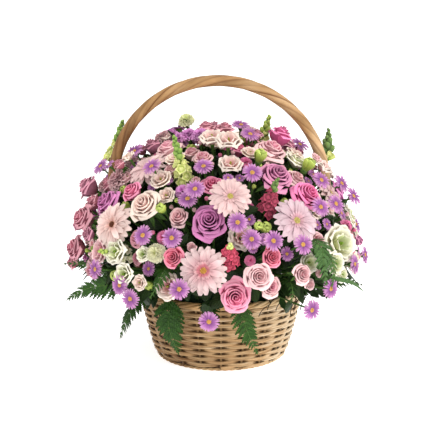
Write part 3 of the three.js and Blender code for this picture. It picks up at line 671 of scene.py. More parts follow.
def green_finish(name, dark, light, gloss, scale):
    """Leaf green: a tint of its own over lighter and darker patches, with side veins."""
    finish = Finish(name, Roughness=gloss, Specular_IOR_Level=0.2)
    across, along, shade = finish.lie()
    patch = finish.noise(across * 1.5, along * 2.5, shade * 70, detail=3)
    rib = 1 - finish.node("Math", {"operation": "ABSOLUTE"}, {0: across})
    slant = along * scale - finish.node("Math", {"operation": "ABSOLUTE"}, {0: across}) * (0.35 * scale)
    wave = finish.node("Math", {"operation": "SINE"}, {0: slant * 6.283})
    leaf = finish.ramp(patch + 0.12 * wave + 0.2 * rib**8, (0.2, tone(dark)), (0.8, tone(light)))
    finish.paint(finish.mix(1.0, leaf, finish.attribute("tint", "Color"), "MULTIPLY"))
    finish.bump(wave + 2 * rib**6, 0.0004, 0.35)
    return finish.material


bud_petal = petal_finish("bud_petal", 5, 0.5)
stem_green = green_finish("stem_green", "2E4A20", "587A38", 0.55, 2)

# What the blooms of each kind are made of: form makers fill it, and sprays are planted from it.
blooms = {"bud": {"neck": 2.1, "stem": 1.3, "petal": bud_petal, "models": [bud_forms()]}}

# ---------------------------------------------------------------- roses
# Cut garden and spray roses: petals in a spiral round a tight heart, each rolled out at its
# lip, on a green hip with five sepals. The stems stand in the foam, alone or several to a spray.

gather = np.array([0, 0, 132.0])
spread = 62
hole_depth = 25
bare_length = 6  # how much of a stem above the foam has no leaves
neck_bend = 14  # how far below its bloom a stem bends into its own way
viewer = np.array([0, -math.cos(math.radians(13)), math.sin(math.radians(13))])


def rose_forms(petals, openness, seed):
    """A rose of size 1, from the heart out. openness 0 is half a bud and 1 is full blown."""
    draw = np.random.default_rng(seed)
    layers = []
    for k in range(petals):
        t = k / (petals - 1)
        turn = k * golden + draw.uniform(-0.25, 0.25)
        lip_radius = 0.02 + (0.6 + 0.2 * openness) * t**0.9
        lip_height = 0.46 - 0.3 * t - (0.1 + 0.26 * openness) * t**2.4 + draw.uniform(-0.02, 0.02)
        half = math.radians(105 - 46 * t)
        roll = 0.015 + (0.1 + 0.1 * openness) * t**1.5
        shape = cupped(turn, half, (0.04 + 0.26 * t, -0.9 + 0.1 * t), (lip_radius, lip_height), roll,
                       bow=0.7, point=0.1 * t, ruffle=0.025 * t, phase=draw.uniform(0, 6))
        layers.append(petal(5, 5, shape, 0.03, whorl=t, shade=draw.random()))
    hip = turned([(0.07, -1.25), (0.16, -1.18), (0.2, -1.05), (0.16, -0.92), (0.1, -0.86)], 10)
    sepals = []
    for k in range(5):
        turn = (k + 0.3) * 2 * math.pi / 5
        def blade(u, v):
            half = 0.12 * np.sin(np.pi * (0.12 + 0.86 * v)) ** 0.7
            out = 0.14 + 0.5 * v
            return out, half * u, -0.92 - 0.18 * v - 0.35 * v**2 + 0.05 * u**2
        leaf = petal(2, 5, blade, 0.02, shade=k / 5)
        sepals.append(leaf.placed(about(turn)))
    return {"petal": merged(layers), "green": merged([hip] + sepals)}


def tinted(form, heart, outer, lip, base, shades=0.12):
    """A tint for each point: heart to outer by whorl, with a lip and a base of their own."""
    whorl, along, shade = form.whorl[:, None], form.lie[:, 1:2], form.lie[:, 2:3]
    body = heart + (outer - heart) * whorl
    edge = smooth_step(0.4, 0.85, along) * (0.6 + 0.4 * whorl)
    body = body + (lip - body) * edge
    body = body + (base - body) * (1 - smooth_step(0.0, 0.4, along))
    return np.clip(body * (1 + shades * (2 * shade - 1)), 0, 1)


def hues(*codes):
    """The colours of several codes, without their alpha."""
    return [np.array(tone(code)[:3]) for code in codes]


# Heart, outer petals, lip and base of each colour of bloom.
palettes = {
    "mauve": hues("8A2C68", "AE5290", "E696CE", "7C2C5C"),
    "lilac": hues("903D75", "BD6B9F", "EAA2C4", "8A3E72"),
    "pink": hues("CC3E74", "E0739E", "F4A2C2", "C85A7C"),
    "hot": hues("CC3A7E", "E867A8", "FA9ACB", "C04A7A"),
    "candy": hues("D83A84", "EC7EAA", "FAB8CC", "CE5E88"),
    "coral": hues("D43E66", "F07094", "FCA2B8", "D0587A"),
    "two_tone": hues("E07CA4", "ECCFC9", "F0CCCE", "DEC0B0"),
    "cream": hues("E2B4B0", "EAD6CA", "F2E4D8", "D0C4A8"),
    "blush": hues("DC98A4", "E8BEC2", "F2D2D2", "D8ACA8"),
    "dusty": hues("94445F", "B87490", "DA9AAE", "864454"),
    "rosy": hues("B04A6C", "CA7A8C", "E2A8B4", "A05062"),
    "lime": hues("94AC38", "B0C64A", "CCDA78", "6E902C"),
    "ivory": hues("CCCC94", "DEDCB8", "ECEAD2", "B0BE7C"),
    "snow": hues("E8A8AC", "EADAD0", "F0E4DA", "DC949C"),
    "green_heart": hues("AEC654", "EEE9D6", "F6F2E6", "D8DAAE"),
    "violet": hues("B44EAC", "D07CC8", "F2BCEA", "964C94"),
    "plum": hues("BA8090", "D6AAB2", "EACCCC", "9C6878"),
    "magenta": hues("C43A7E", "E070A6", "F29EC6", "A83E6A"),
    "aster": hues("944A99", "AE66AE", "D29AC7", "7E3884"),
    "pale": hues("CEA4A6", "D6B8B8", "DEC2C0", "C49A9A"),
    "ringed": hues("C06A76", "CEAAAE", "DAC2C2", "B46470"),
    "cool": hues("CA9AA4", "CCB0BA", "D8C0C8", "BC909C"),
    "peach": hues("D4AAA0", "E0C2BC", "E8D2CC", "CA9488"),
    "crimson": hues("8C0C36", "B81E4A", "E05476", "6E0A24"),
    "lemon": hues("C4D07C", "E0E4B0", "F0F0D0", "B4C06C"),
    "wine": hues("6C0A2E", "941A42", "BC3A60", "540818"),
    "spring": hues("B4C850", "D2DC7C", "E8E8A8", "8AA83C"),
    "sage": hues("4A6A24", "668A34", "88A84C", "3A5420"),
    "leafy": hues("6E942E", "86AC3C", "A8C45C", "547A26"),
}

heads = []  # (centre, radius) of each bloom, which the leaves keep clear of
stalks = []  # (kind, from the foam, to the bloom, its right hand), which the leaves grow on


def outward(bearing, rise):
    """The way out at a bearing round the basket, 0 at the front, and a rise above level."""
    turn, lift = math.radians(bearing), math.radians(rise)
    return np.array([math.cos(lift) * math.sin(turn), -math.cos(lift) * math.cos(turn), math.sin(lift)])


def distance_to_dome(start, axis):
    """How far along the axis from a point in the foam its dome is."""
    squash = np.array([1 / foam_radius, 1 / foam_radius, 1 / foam_dome])
    centre, way = (start - (0, 0, foam_shoulder)) * squash, axis * squash
    a, b, c = way @ way, centre @ way, centre @ centre - 1
    return (-b + math.sqrt(b * b - a * c)) / a


def rooted(throat, rise):
    """A stem's way from the foam to a bloom's throat, where its leaves start, and its foot."""
    aim = gather - (0, 0, spread * math.sin(math.radians(rise)))
    axis = unit(throat - aim)
    entry = distance_to_dome(aim, axis)
    return axis, aim + (entry + bare_length) * axis, aim + (entry - hole_depth) * axis


def plant(name, shoots, draw):
    """One spray: for each shoot its bloom, and its stem down into the foam. A shoot is kind,
    palette, bearing, rise, reach, size and, for some, how much it leans to the viewer."""
    parts = []
    for kind, palette, bearing, rise, reach, size, *lean in shoots:
        bloom = blooms[kind]
        ray = outward(bearing, rise)
        origin = gather + reach * ray
        face = unit(ray + (lean[0] if lean else 0) * viewer)
        right = unit((-face[1], face[0], 0))
        up = np.cross(face, right)
        below = bloom["neck"] * size
        throat = origin - below * face
        axis, start, foot = rooted(throat, rise)
        turn = draw.uniform(0, 2 * math.pi)
        cos, sin = math.cos(turn), math.sin(turn)
        axes = size * np.array([cos * right + sin * up, cos * up - sin * right, face])
        model = bloom["models"][draw.integers(len(bloom["models"]))]
        for role, form in model.items():
            copy = form.placed(axes, origin)
            if role == "petal":
                parts.append((copy, tinted(copy, *palettes[palette]), bloom["petal"]))
            elif role == "heart":
                parts.append((copy, heart_tint(copy, palette), heart_finish))
            else:
                parts.append((copy, (0.95, 1.0, 0.9), stem_green))
        line = smooth_line([throat + 0.12 * below * face, throat, throat - neck_bend * axis, foot], 9)
        thick = bloom["stem"] * np.linspace(1.15, 0.9, 9)
        parts.append((sweep(line, thick, round_section(6), upright=right), (0.9, 1.0, 0.85), stem_green))
        depth = 0.4 * size if bloom["neck"] > 1 else 0
        heads.append((origin - depth * face, size))
        stalks.append((kind, start, throat, right))
    piece = make_piece(name + "_blooms", parts)
    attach(piece, "root")
    return piece


def stand(piece, node):
    """Hides the node of the part in whose place a piece now stands."""
    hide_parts(node)


def plant_sprays(sprays, seed, slot, **other_slots):
    """Plants the sprays of one kind, each in the place of its node. slot and other_slots are not used."""
    draw = np.random.default_rng(seed)
    for name, shoots in sprays.items():
        stand(plant(name, shoots, draw), name)


rose_petal = petal_finish("rose_petal", 7, 0.35, 0.5)
blooms["rose"] = {"neck": 1.25, "stem": 2.2, "petal": rose_petal, "models": [
    rose_forms(18, 1.0, 1), rose_forms(17, 0.7, 2), rose_forms(18, 0.85, 3)]}
blooms["spray_rose"] = {"neck": 1.25, "stem": 2.0, "petal": rose_petal, "models": [
    rose_forms(13, 0.3, 4), rose_forms(14, 0.6, 5)]}

rose_sprays = {
    "rose_mauve_centre": [("rose", "mauve", -5, 34, 238, 30)],
    "rose_mauve_right": [("rose", "lilac", 32, 50, 248, 31)],
    "rose_mauve_left": [("rose", "mauve", -66, 35, 240, 27)],
    "rose_pair_crown": [("rose", "two_tone", 51, 65, 240, 30), ("spray_rose", "hot", 96, 67, 252, 26)],
    "rose_pink_right": [("rose", "hot", 46, 41, 244, 27)],
    "rose_pink_low": [("rose", "candy", 5, 7, 238, 28)],
    "rose_cream_left": [("rose", "cream", -35, 37, 250, 30), ("spray_rose", "pink", -49, 42, 244, 20),
                        ("spray_rose", "blush", -20, 36, 228, 21)],
    "rose_pair_upper_left": [("rose", "two_tone", -66, 67, 234, 27),
                             ("spray_rose", "dusty", -96, 62, 242, 20)],
    "rose_trio_left": [("rose", "rosy", -77, 25, 252, 25, 0.3), ("rose", "dusty", -95, 33, 265, 25),
                       ("rose", "rosy", -83, 12, 246, 24, 0.3)],
    "rose_pink_upper": [("spray_rose", "pink", -5, 50, 232, 22)],
    "rose_trio_low_right": [("rose", "blush", 12, 14, 268, 23.5), ("spray_rose", "coral", 19, 20, 244, 19),
                            ("spray_rose", "blush", 30, 13, 246, 19)],
    "rose_coral_left": [("spray_rose", "coral", -18, 20, 242, 19)],
    "rose_back_right": [("rose", "cream", 134, 22, 244, 31), ("rose", "pink", 118, 10, 244, 31),
                        ("rose", "dusty", 137, 6, 244, 31), ("rose", "blush", 152, 14, 244, 31)],
    "rose_back_left": [("rose", "mauve", -137, 20, 244, 31), ("rose", "rosy", -152, 8, 244, 31),
                       ("rose", "cream", -132, 5, 244, 31), ("rose", "pink", -117, 12, 244, 31)],
    "rose_back_crown": [("rose", "lilac", -160, 45, 242, 31), ("rose", "two_tone", -175, 62, 242, 31),
                        ("rose", "hot", -145, 52, 242, 31), ("rose", "rosy", 170, 50, 242, 31),
                        ("spray_rose", "dusty", -160, 82, 240, 24)],
    "rose_back_upper_right": [("rose", "dusty", 125, 55, 240, 29), ("rose", "cream", 149, 67, 240, 29),
                              ("rose", "mauve", 106, 33, 238, 29)],
}
rose_slots = {"rose_mauve_centre": "mauve_petal", "rose_mauve_right": "mauve_petal",
              "rose_mauve_left": "mauve_petal", "rose_cream_left": "white_petal",
              "rose_trio_left": "dusty_petal"}
plant_sprays(rose_sprays, 11, "pink_petal", **rose_slots)

# ---------------------------------------------------------------- the hearts of the daisies
# The button in the middle of a gerbera or an aster: a low dome of crowded florets, darker at
# its middle or at its rim, on the same green cup as the petals.

hearts = {
    "pale": hues("C4B868", "DED094"),
    "cool": hues("C8BC74", "E2D498"),
    "ringed": hues("CC9E48", "E2BC84"),
    "peach": hues("6C3414", "BC8640"),
    "aster": hues("D8A85C", "EBCF8C"),
    "green_heart": hues("84A834", "D6CC78"),
    "snow": hues("A8A848", "CCBE78"),
}


def heart_tint(form, palette):
    """The first colour for the florets in the middle, and the second for those at the rim."""
    return np.array(hearts.get(palette, hearts["snow"]))[np.rint(form.whorl).astype(int)]


heart_soft = Finish("floret_heart", Roughness=0.8)
spots = heart_soft.node("TexVoronoi", {}, {"Vector": heart_soft.place(), "Scale": 700.0})
crumb = heart_soft.attribute("tint", "Color")
heart_soft.paint(heart_soft.mix(spots * 0.7, crumb, heart_soft.mix(1.0, crumb, crumb, "MULTIPLY")))
heart_soft.bump(1 - spots, 0.0012, 0.9)
heart_finish = heart_soft.material


def button(radius, height, lumps, seed):
    """A dome with its florets as lumps, ranked 0 in the middle and 1 at the rim."""
    draw = np.random.default_rng(seed)
    domes = [turned([(radius, -0.04), (0.97 * radius, 0.3 * height), (0.7 * radius, 0.8 * height),
                     (0.3 * radius, height)], 12).graded(0, 0.5)]
    bead = turned([(0.5, -0.6), (1.0, 0.0), (0.55, 0.8)], 5)
    for k in range(lumps):
        out = radius * math.sqrt((k + 0.5) / lumps)
        turn = k * golden
        rise = height * (1 - 0.75 * (out / radius) ** 2)
        size = radius * 0.14 * draw.uniform(0.8, 1.2)
        rank = 1.0 if out > 0.62 * radius else 0.0
        place = (out * math.cos(turn), out * math.sin(turn), rise)
        domes.append(bead.graded(rank, draw.random()).placed(size * np.eye(3), place))
    return merged(domes)


# ---------------------------------------------------------------- gerberas
# Mini gerberas: two or three rings of long strap petals, each with two creases, round a flat
# button, on a thick stem with leaves beside it. Pale pink ones in front, and more behind.


def strap(start, reach, half_width, arch, droop, blunt=0.82):
    """The shape of a strap petal that lies along X."""
    def shape(u, v):
        body = 0.55 + 0.45 * smooth_step(0, 0.5, v)
        end = np.sqrt(np.clip(1 - np.clip((v - blunt) / (1.001 - blunt), 0, 1) ** 2, 0.16, 1))
        crease = 0.1 * half_width * np.cos(3 * np.pi * u)
        height = arch * np.sin(np.pi * v) - droop * v**2 + 0.5 * half_width * u**2 + crease
        return start + (reach - start) * v, half_width * u * body * end, height
    return shape


def ring_of(petals, count, turn, tilt, draw, whorl):
    """A ring of petals about Z, each a little out of line."""
    forms = []
    for k in range(count):
        axes = about(turn + (k + draw.uniform(-0.22, 0.22)) * 2 * math.pi / count,
                     tilt + draw.uniform(-0.09, 0.09), draw.uniform(0.94, 1.03))
        lifted = (0, 0, draw.uniform(-0.012, 0.012))
        form = petals[draw.integers(len(petals))]
        forms.append(form.graded(whorl, draw.random()).placed(axes, lifted))
    return forms


def gerbera_forms(inner, seed):
    """A gerbera of size 1. inner is how many short petals stand round its button."""
    draw = np.random.default_rng(seed)
    long_straps = [petal(4, 5, strap(0.1, 1.0, 0.14, 0.06 + lift, 0.08), 0.016) for lift in (0, 0.03)]
    short_straps = [petal(4, 5, strap(0.1, 0.86, 0.13, 0.09, 0.03), 0.016)]
    tiny_straps = [petal(2, 4, strap(0.12, 0.42, 0.045, 0.03, -0.02), 0.014)]
    forms = ring_of(long_straps, 20, 0, -0.05, draw, 1.0)
    forms += ring_of(short_straps, 17, 0.15, 0.05, draw, 0.75)
    forms += ring_of(tiny_straps, inner, 0.4, 0.3, draw, 0.0)
    back = turned([(0.06, -0.42), (0.16, -0.32), (0.24, -0.16), (0.22, -0.04)], 14)
    return {"petal": merged(forms), "heart": button(0.19, 0.1, 46, seed), "green": back}


blooms["gerbera"] = {"neck": 0.42, "stem": 2.2, "petal": petal_finish("gerbera_petal", 4, 0.3),
                     "models": [gerbera_forms(18, 21), gerbera_forms(16, 22)]}
blooms["ringed_gerbera"] = dict(blooms["gerbera"], models=[gerbera_forms(34, 23)])
gerbera_sprays = {
    "gerbera_centre": [("gerbera", "pale", 4, 41, 256, 32, 0.2)],
    "gerbera_right": [("gerbera", "cool", 32, 31.5, 246, 37, 0.05)],
    "gerbera_low": [("ringed_gerbera", "ringed", -6, 16, 250, 36)],
    "gerbera_left": [("gerbera", "peach", -50, 28, 242, 36, 0.2)],
    "gerbera_upper_left": [("gerbera", "pale", -57, 54, 232, 33, 0.15)],
    "gerbera_far_right": [("gerbera", "pale", 75.5, 39, 229, 31)],
    "gerbera_back": [("gerbera", "pale", -172, 25, 246, 40), ("ringed_gerbera", "ringed", 165, 32, 246, 40),
                     ("gerbera", "peach", -155, 32, 246, 40)],
}
plant_sprays(gerbera_sprays, 12, "gerbera_petal")

# ---------------------------------------------------------------- carnations
# Full round carnations: crowded petals with a frilled, toothed lip, out of a tubular green
# cup. Lilac ones and a small lemon one at the crown, a dusty one at the left, a cream one low.


def frilled(reach, half, curl, phase):
    """The shape of a frilled petal that stands along Z and leans to X at its lip."""
    def shape(u, v):
        fan = half * (0.18 + 0.82 * v**1.2)
        teeth = 0.05 * np.where(np.rint((u + 1) * 4) % 2 > 0, 1, -1) * smooth_step(0.7, 1, v)
        frill = 0.09 * np.sin(7 * u + phase) * v**2
        radial = curl * v**2 + frill
        return radial, fan * u, (reach + teeth) * v - 0.1 * u**2 * v - 0.4 * curl * v**3
    return shape


def carnation_forms(petals, seed):
    """A carnation of size 1: upright petals at its heart, and level ones outside."""
    draw = np.random.default_rng(seed)
    kinds = [petal(8, 3, frilled(1.0, 0.36, 0.28, phase), 0.02) for phase in (0, 1.7, 3.6, 5.1)]
    forms = []
    for k in range(petals):
        t = (k + 0.5) / petals
        tilt = math.radians(8 + 84 * t**0.75)
        turn = k * golden
        size = (0.86 + 0.16 * t) * draw.uniform(0.93, 1.05)
        out, rise = math.sin(tilt), math.cos(tilt)
        upward = np.array([out * math.cos(turn), out * math.sin(turn), rise])
        level = np.array([-math.sin(turn), math.cos(turn), 0])
        axes = size * np.array([np.cross(level, upward), level, upward])
        form = kinds[draw.integers(len(kinds))].graded(t, draw.random())
        forms.append(form.placed(axes, (0, 0, -0.42)))
    cup = turned([(0.09, -1.3), (0.2, -1.22), (0.24, -0.8), (0.2, -0.35)], 10)
    return {"petal": merged(forms), "green": cup}


frilled_petal = petal_finish("carnation_petal", 6, 0.45, 0.65)
blooms["carnation"] = {"neck": 1.25, "stem": 1.8, "petal": frilled_petal,
                       "models": [carnation_forms(44, 31), carnation_forms(40, 32)]}
carnation_sprays = {
    "carnation_lilac_crown": [("carnation", "violet", -92, 75, 236, 22),
                              ("carnation", "violet", -117, 66, 246, 24),
                              ("carnation", "lemon", -122, 75, 262, 15, 0.5)],
    "carnation_dusty_left": [("carnation", "plum", -79, 45, 240, 25)],
    "carnation_cream_low": [("carnation", "ivory", -26, 21, 240, 16)],
    "carnation_back": [("carnation", "violet", 135, 42, 240, 29), ("carnation", "plum", 150, 40, 240, 29),
                       ("carnation", "magenta", 118, 26, 240, 24)],
}
carnation_slots = {"carnation_cream_low": "white_petal", "carnation_dusty_left": "dusty_petal"}
plant_sprays(carnation_sprays, 13, "lilac_petal", **carnation_slots)

# ---------------------------------------------------------------- lisianthus
# Open cups of broad, ruffled petals in three whorls, round a small lumpy heart of green and
# yellow. White and pink with pointed petals at the crown, cream and green at the right.


def lisianthus_forms(point, seed):
    """A lisianthus of size 1. point is how sharply its petals end."""
    draw = np.random.default_rng(seed)
    whorls = ((5, (0.9, -0.12), 50, 1.0), (5, (0.72, 0.06), 48, 0.85), (4, (0.42, 0.12), 50, 0.45))
    forms = []
    for count, lip, half, whorl in whorls:
        for k in range(count):
            turn = (k + 0.5 * whorl + draw.uniform(-0.1, 0.1)) * 2 * math.pi / count
            height = lip[1] + draw.uniform(-0.05, 0.05)
            shape = cupped(turn, math.radians(half), (0.08, -0.85), (lip[0], height), 0.1 * whorl,
                           bow=0.9, point=point, ruffle=0.06, phase=draw.uniform(0, 6))
            forms.append(petal(7, 5, shape, 0.022, whorl=whorl, shade=draw.random()))
    core = button(0.1, 0.3, 12, seed).placed(np.eye(3), (0, 0, -0.32))
    cup = turned([(0.07, -1.2), (0.14, -1.08), (0.17, -0.85), (0.1, -0.6)], 8)
    return {"petal": merged(forms), "heart": core, "green": cup}


blooms["lisianthus"] = {"neck": 1.2, "stem": 1.7, "petal": petal_finish("lisianthus_petal", 9, 0.35),
                        "models": [lisianthus_forms(0.05, 41), lisianthus_forms(0.1, 42)]}
starry = [lisianthus_forms(0.3, 43), lisianthus_forms(0.35, 44)]
blooms["starry_lisianthus"] = dict(blooms["lisianthus"], models=starry)
lisianthus_sprays = {
    "lisianthus_crown": [
        ("starry_lisianthus", "snow", 7, 68, 260, 21), ("starry_lisianthus", "snow", -12, 74, 252, 21),
        ("starry_lisianthus", "snow", 7, 60, 240, 19)],
    "lisianthus_upper_right": [
        ("lisianthus", "green_heart", 71, 57, 238, 21), ("bud", "lime", 65, 52, 250, 12),
        ("bud", "lime", 29, 60, 252, 11.5)],
    "lisianthus_right": [
        ("lisianthus", "green_heart", 58, 20, 236, 30, 0.5), ("lisianthus", "green_heart", 48, 14, 244, 19)],
    "lisianthus_far_right": [
        ("starry_lisianthus", "snow", 105, 42, 248, 17), ("lisianthus", "green_heart", 86, 26, 236, 21),
        ("carnation", "magenta", 66, 25, 240, 12)],
    "lisianthus_back": [
        ("lisianthus", "green_heart", -120, 40, 242, 32), ("starry_lisianthus", "snow", -128, 30, 242, 32),
        ("lisianthus", "green_heart", -112, 30, 242, 32)],
}
plant_sprays(lisianthus_sprays, 14, "white_petal")

# ---------------------------------------------------------------- snapdragons
# Tapering spikes: open two-lipped florets round the lower stem, then closed ones, and green
# buds like beads up to the tip. Green and white ones stand tall, crimson ones sit deeper.

spike_below = 22  # how far a spike's flowers reach below its place
floret_gap = 2.9
lay_flat = np.array([(0, 0, -1.0), (0, 1.0, 0), (1.0, 0, 0)])  # from along Z to along X


def floret_forms(open_lips):
    """A floret of length 1 that grows along X: a tube, its lips and its green cup."""
    tube = turned([(0.1, 0.0), (0.2, 0.25), (0.26, 0.6), (0.16, 0.74)], 8)
    lips = [tube.graded(0.2, 0.5)]
    for k, turn in enumerate((60, 120, 200, 270, 340)):
        def lobe(u, v):
            half = 0.2 * np.sin(np.pi * (0.2 + 0.66 * v)) ** 0.7
            flare = open_lips * (0.3 * v + 0.05 * np.cos(3 * u))
            return 0.14 + flare, half * u, 0.55 + 0.34 * v - open_lips * 0.22 * v**2
        form = petal(4, 4, lobe, 0.03, whorl=1.0, shade=k / 5)
        lips.append(form.placed(about(math.radians(turn))))
    palate = turned([(0.06, 0.55), (0.13, 0.66), (0.08, 0.8)], 7).graded(0.5, 0.5)
    cup = turned([(0.06, -0.05), (0.16, 0.05), (0.18, 0.2), (0.12, 0.28)], 7)
    return {"petal": merged(lips + [palate]), "green": cup}


bead_bud = {
    "petal": turned([(0.12, 0.0), (0.34, 0.2), (0.4, 0.5), (0.24, 0.82), (0.05, 0.95)], 7),
    "green": turned([(0.08, -0.1), (0.36, 0.1), (0.4, 0.3), (0.3, 0.36)], 6),
}
open_floret, shut_floret, bead_bud = (
    {role: form.placed(lay_flat) for role, form in model.items()}
    for model in (floret_forms(1.0), floret_forms(0.3), bead_bud))
snap_petal = petal_finish("snapdragon_petal", 5, 0.4)


def plant_spike(name, palette, tip_palette, bloom_share, draw, bearing, rise, reach, length, lean=0):
    """One spike. bloom_share is how far up its florets are open, and lean turns it from its own
    way out, 0, to upright, 1."""
    ray = outward(bearing, rise)
    origin = gather + reach * ray
    ray = unit(ray + lean * (np.array([0, 0, 1]) - ray))
    right = unit((-ray[1], ray[0], 0))
    up = np.cross(ray, right)
    throat = origin - spike_below * ray
    axis, start, foot = rooted(throat, rise)
    tip = origin + 0.93 * length * ray
    line = smooth_line([tip, throat, throat - neck_bend * axis, foot], 14)
    stem = sweep(line, np.linspace(0.9, 1.9, 14), round_section(6), upright=right)
    parts = [(stem, (0.95, 1.0, 0.85), stem_green)]
    whole = 0.95 * length + spike_below
    count = int(whole / floret_gap)
    for k in range(count):
        share = (k + 0.5) / count
        turn = k * golden
        girth = 18 - 11.5 * share
        slope = math.radians(25 + 45 * share)
        out = math.cos(turn) * right + math.sin(turn) * up
        way = math.cos(slope) * out + math.sin(slope) * ray
        across = np.cross(ray, out)
        base = throat + (0.04 + 0.94 * share) * whole * ray
        if share < bloom_share:
            model, size, colours = open_floret, 1.25 * girth, palettes[palette]
        elif share < bloom_share + 0.15:
            model, size, colours = shut_floret, 1.1 * girth, palettes[palette]
        else:
            model, size, colours = bead_bud, 1.25 * girth * (1.15 - 0.4 * share), palettes[tip_palette]
        size *= draw.uniform(0.9, 1.08)
        axes = size * np.array([way, across, np.cross(way, across)])
        for role, form in model.items():
            copy = form.placed(axes, base)
            if role == "petal":
                parts.append((copy, tinted(copy, *colours), snap_petal))
            else:
                parts.append((copy, (0.95, 1.0, 0.75), stem_green))
    heads.append((origin, 20))
    stalks.append(("spike", start, throat, right))
    piece = make_piece(name + "_spike", parts)
    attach(piece, "root")
    return piece


snapdragons = {
    "snapdragon_upper_left": ("spring", "leafy", 0.42, -26, 55, 226, 75, 0.3),
    "snapdragon_far_left": ("spring", "leafy", 0.35, -100, 48, 265, 57, 1.5),
    "snapdragon_upper_right": ("spring", "sage", 0.1, 101, 48, 264, 40, 0.9),
    "snapdragon_crimson_right": ("wine", "sage", 0.5, 23, 40, 230, 60, 0.3),
    "snapdragon_crimson_low": ("crimson", "spring", 0.6, 3, 21, 232, 44, 0.3),
    "snapdragon_white_left": ("ivory", "lime", 0.6, -47, 18, 220, 42),
    "snapdragon_back": ("spring", "lime", 0.3, 121, 70, 228, 45),
}
draw = np.random.default_rng(15)
for name, (palette, tip_palette, bloom_share, *place) in snapdragons.items():
    slot = "crimson_petal" if palette in ("crimson", "wine") else "green_bud"
    stand(plant_spike(name, palette, tip_palette, bloom_share, draw, *place), name)

# ---------------------------------------------------------------- asters
# Sprays of small lilac asters: two rings of narrow rays round a yellow button, several heads
# to a spray, each on a wiry stem of its own.


def aster_forms(seed):
    """An aster of size 1."""
    draw = np.random.default_rng(seed)
    rays = [petal(2, 4, strap(0.2, 1.0, 0.082, 0.05, droop, blunt=0.66), 0.03) for droop in (0.0, 0.1)]
    forms = ring_of(rays, 23, 0, -0.03, draw, 1.0) + ring_of(rays, 18, 0.1, 0.11, draw, 0.5)
    cup = turned([(0.09, -0.75), (0.2, -0.6), (0.3, -0.3), (0.28, -0.05)], 10)
    return {"petal": merged(forms), "heart": button(0.25, 0.14, 30, seed), "green": cup}


blooms["aster"] = {"neck": 0.75, "stem": 1.3, "petal": petal_finish("aster_petal", 3, 0.3),
                   "models": [aster_forms(seed) for seed in (51, 52, 53)]}
front_size = 15.5
back_size = 19
leans = {"aster_far_right": 0.5, "aster_upper_left": 0.5, "aster_crown": 0.5, "aster_right": 0.3}
aster_places = {
    "aster_centre_left": [(-12, 44, 254), (-16, 42, 240), (-18, 26, 256), (-30, 26, 254), (-11, 56, 244),
                          (-40, 51, 258)],
    "aster_centre_right": [(11, 26, 256), (6, 31, 266), (19, 25, 256), (29, 22.5, 265)],
    "aster_low": [(-13, 10, 268), (-4, -1, 250)],
    "aster_low_left": [(-38, 8, 246), (-52, 11, 246), (-33, 4, 246)],
    "aster_low_right": [(42, 6, 246), (33, 0, 246), (61, 11, 240)],
    "aster_right": [(57, 34, 252), (44, 34, 258), (59, 44, 250)],
    "aster_far_right": [(85, 32, 252), (84.5, 38.5, 248), (102, 58, 248), (111, 46, 254), (100, 18, 240),
                        (96, 6, 242)],
    "aster_upper_left": [(-85, 56, 248), (-94, 42, 264)],
    "aster_crown": [(51, 76, 244), (17, 51, 252), (136, 79, 246)],
    "aster_back_low": [(178, 1, 252), (170, 8, 252), (-172, 6, 252), (-164, 12, 252), (180, 14, 252)],
    "aster_back_left": [(-105, 20, 252), (-98, 6, 252), (-138, 65, 252)],
}
aster_sprays = {name: [
    ("aster", "aster", *place, back_size if "back" in name else front_size, leans.get(name, 0))
    for place in places] for name, places in aster_places.items()}
aster_sprays["aster_centre_right"].append(("bud", "lime", 15, 31, 248, 8))
plant_sprays(aster_sprays, 16, "aster_petal")

# ---------------------------------------------------------------- the small blooms between
# Smaller heads of the same kinds close the ball: each is pushed in where the gap between the
# others is widest, a little deeper than they are, on a stem of its own in the foam.

between_reach = 229
widest_gap = 21
middling_gap = 13
narrowest_gap = 7.5
tiniest_gap = 5.5
tiny_bud = 4
aster_limit = 14
bud_limit = 10
closeness = 0.88  # how much of a bloom's radius keeps others off
handle_clearance = 14
candidates = 2200
lowest_sine = -0.06


def gap_at(points):
    """How far each point is from the nearest bloom and from the handle."""
    middles = np.array([centre for centre, _ in heads])
    girths = np.array([radius for _, radius in heads])
    blooms_off = np.linalg.norm(points[:, None] - middles[None], axis=-1) - closeness * girths
    handle_off = np.linalg.norm(points[:, None] - handle_line[None], axis=-1) - handle_clearance
    return np.minimum(blooms_off.min(axis=1), handle_off.min(axis=1))


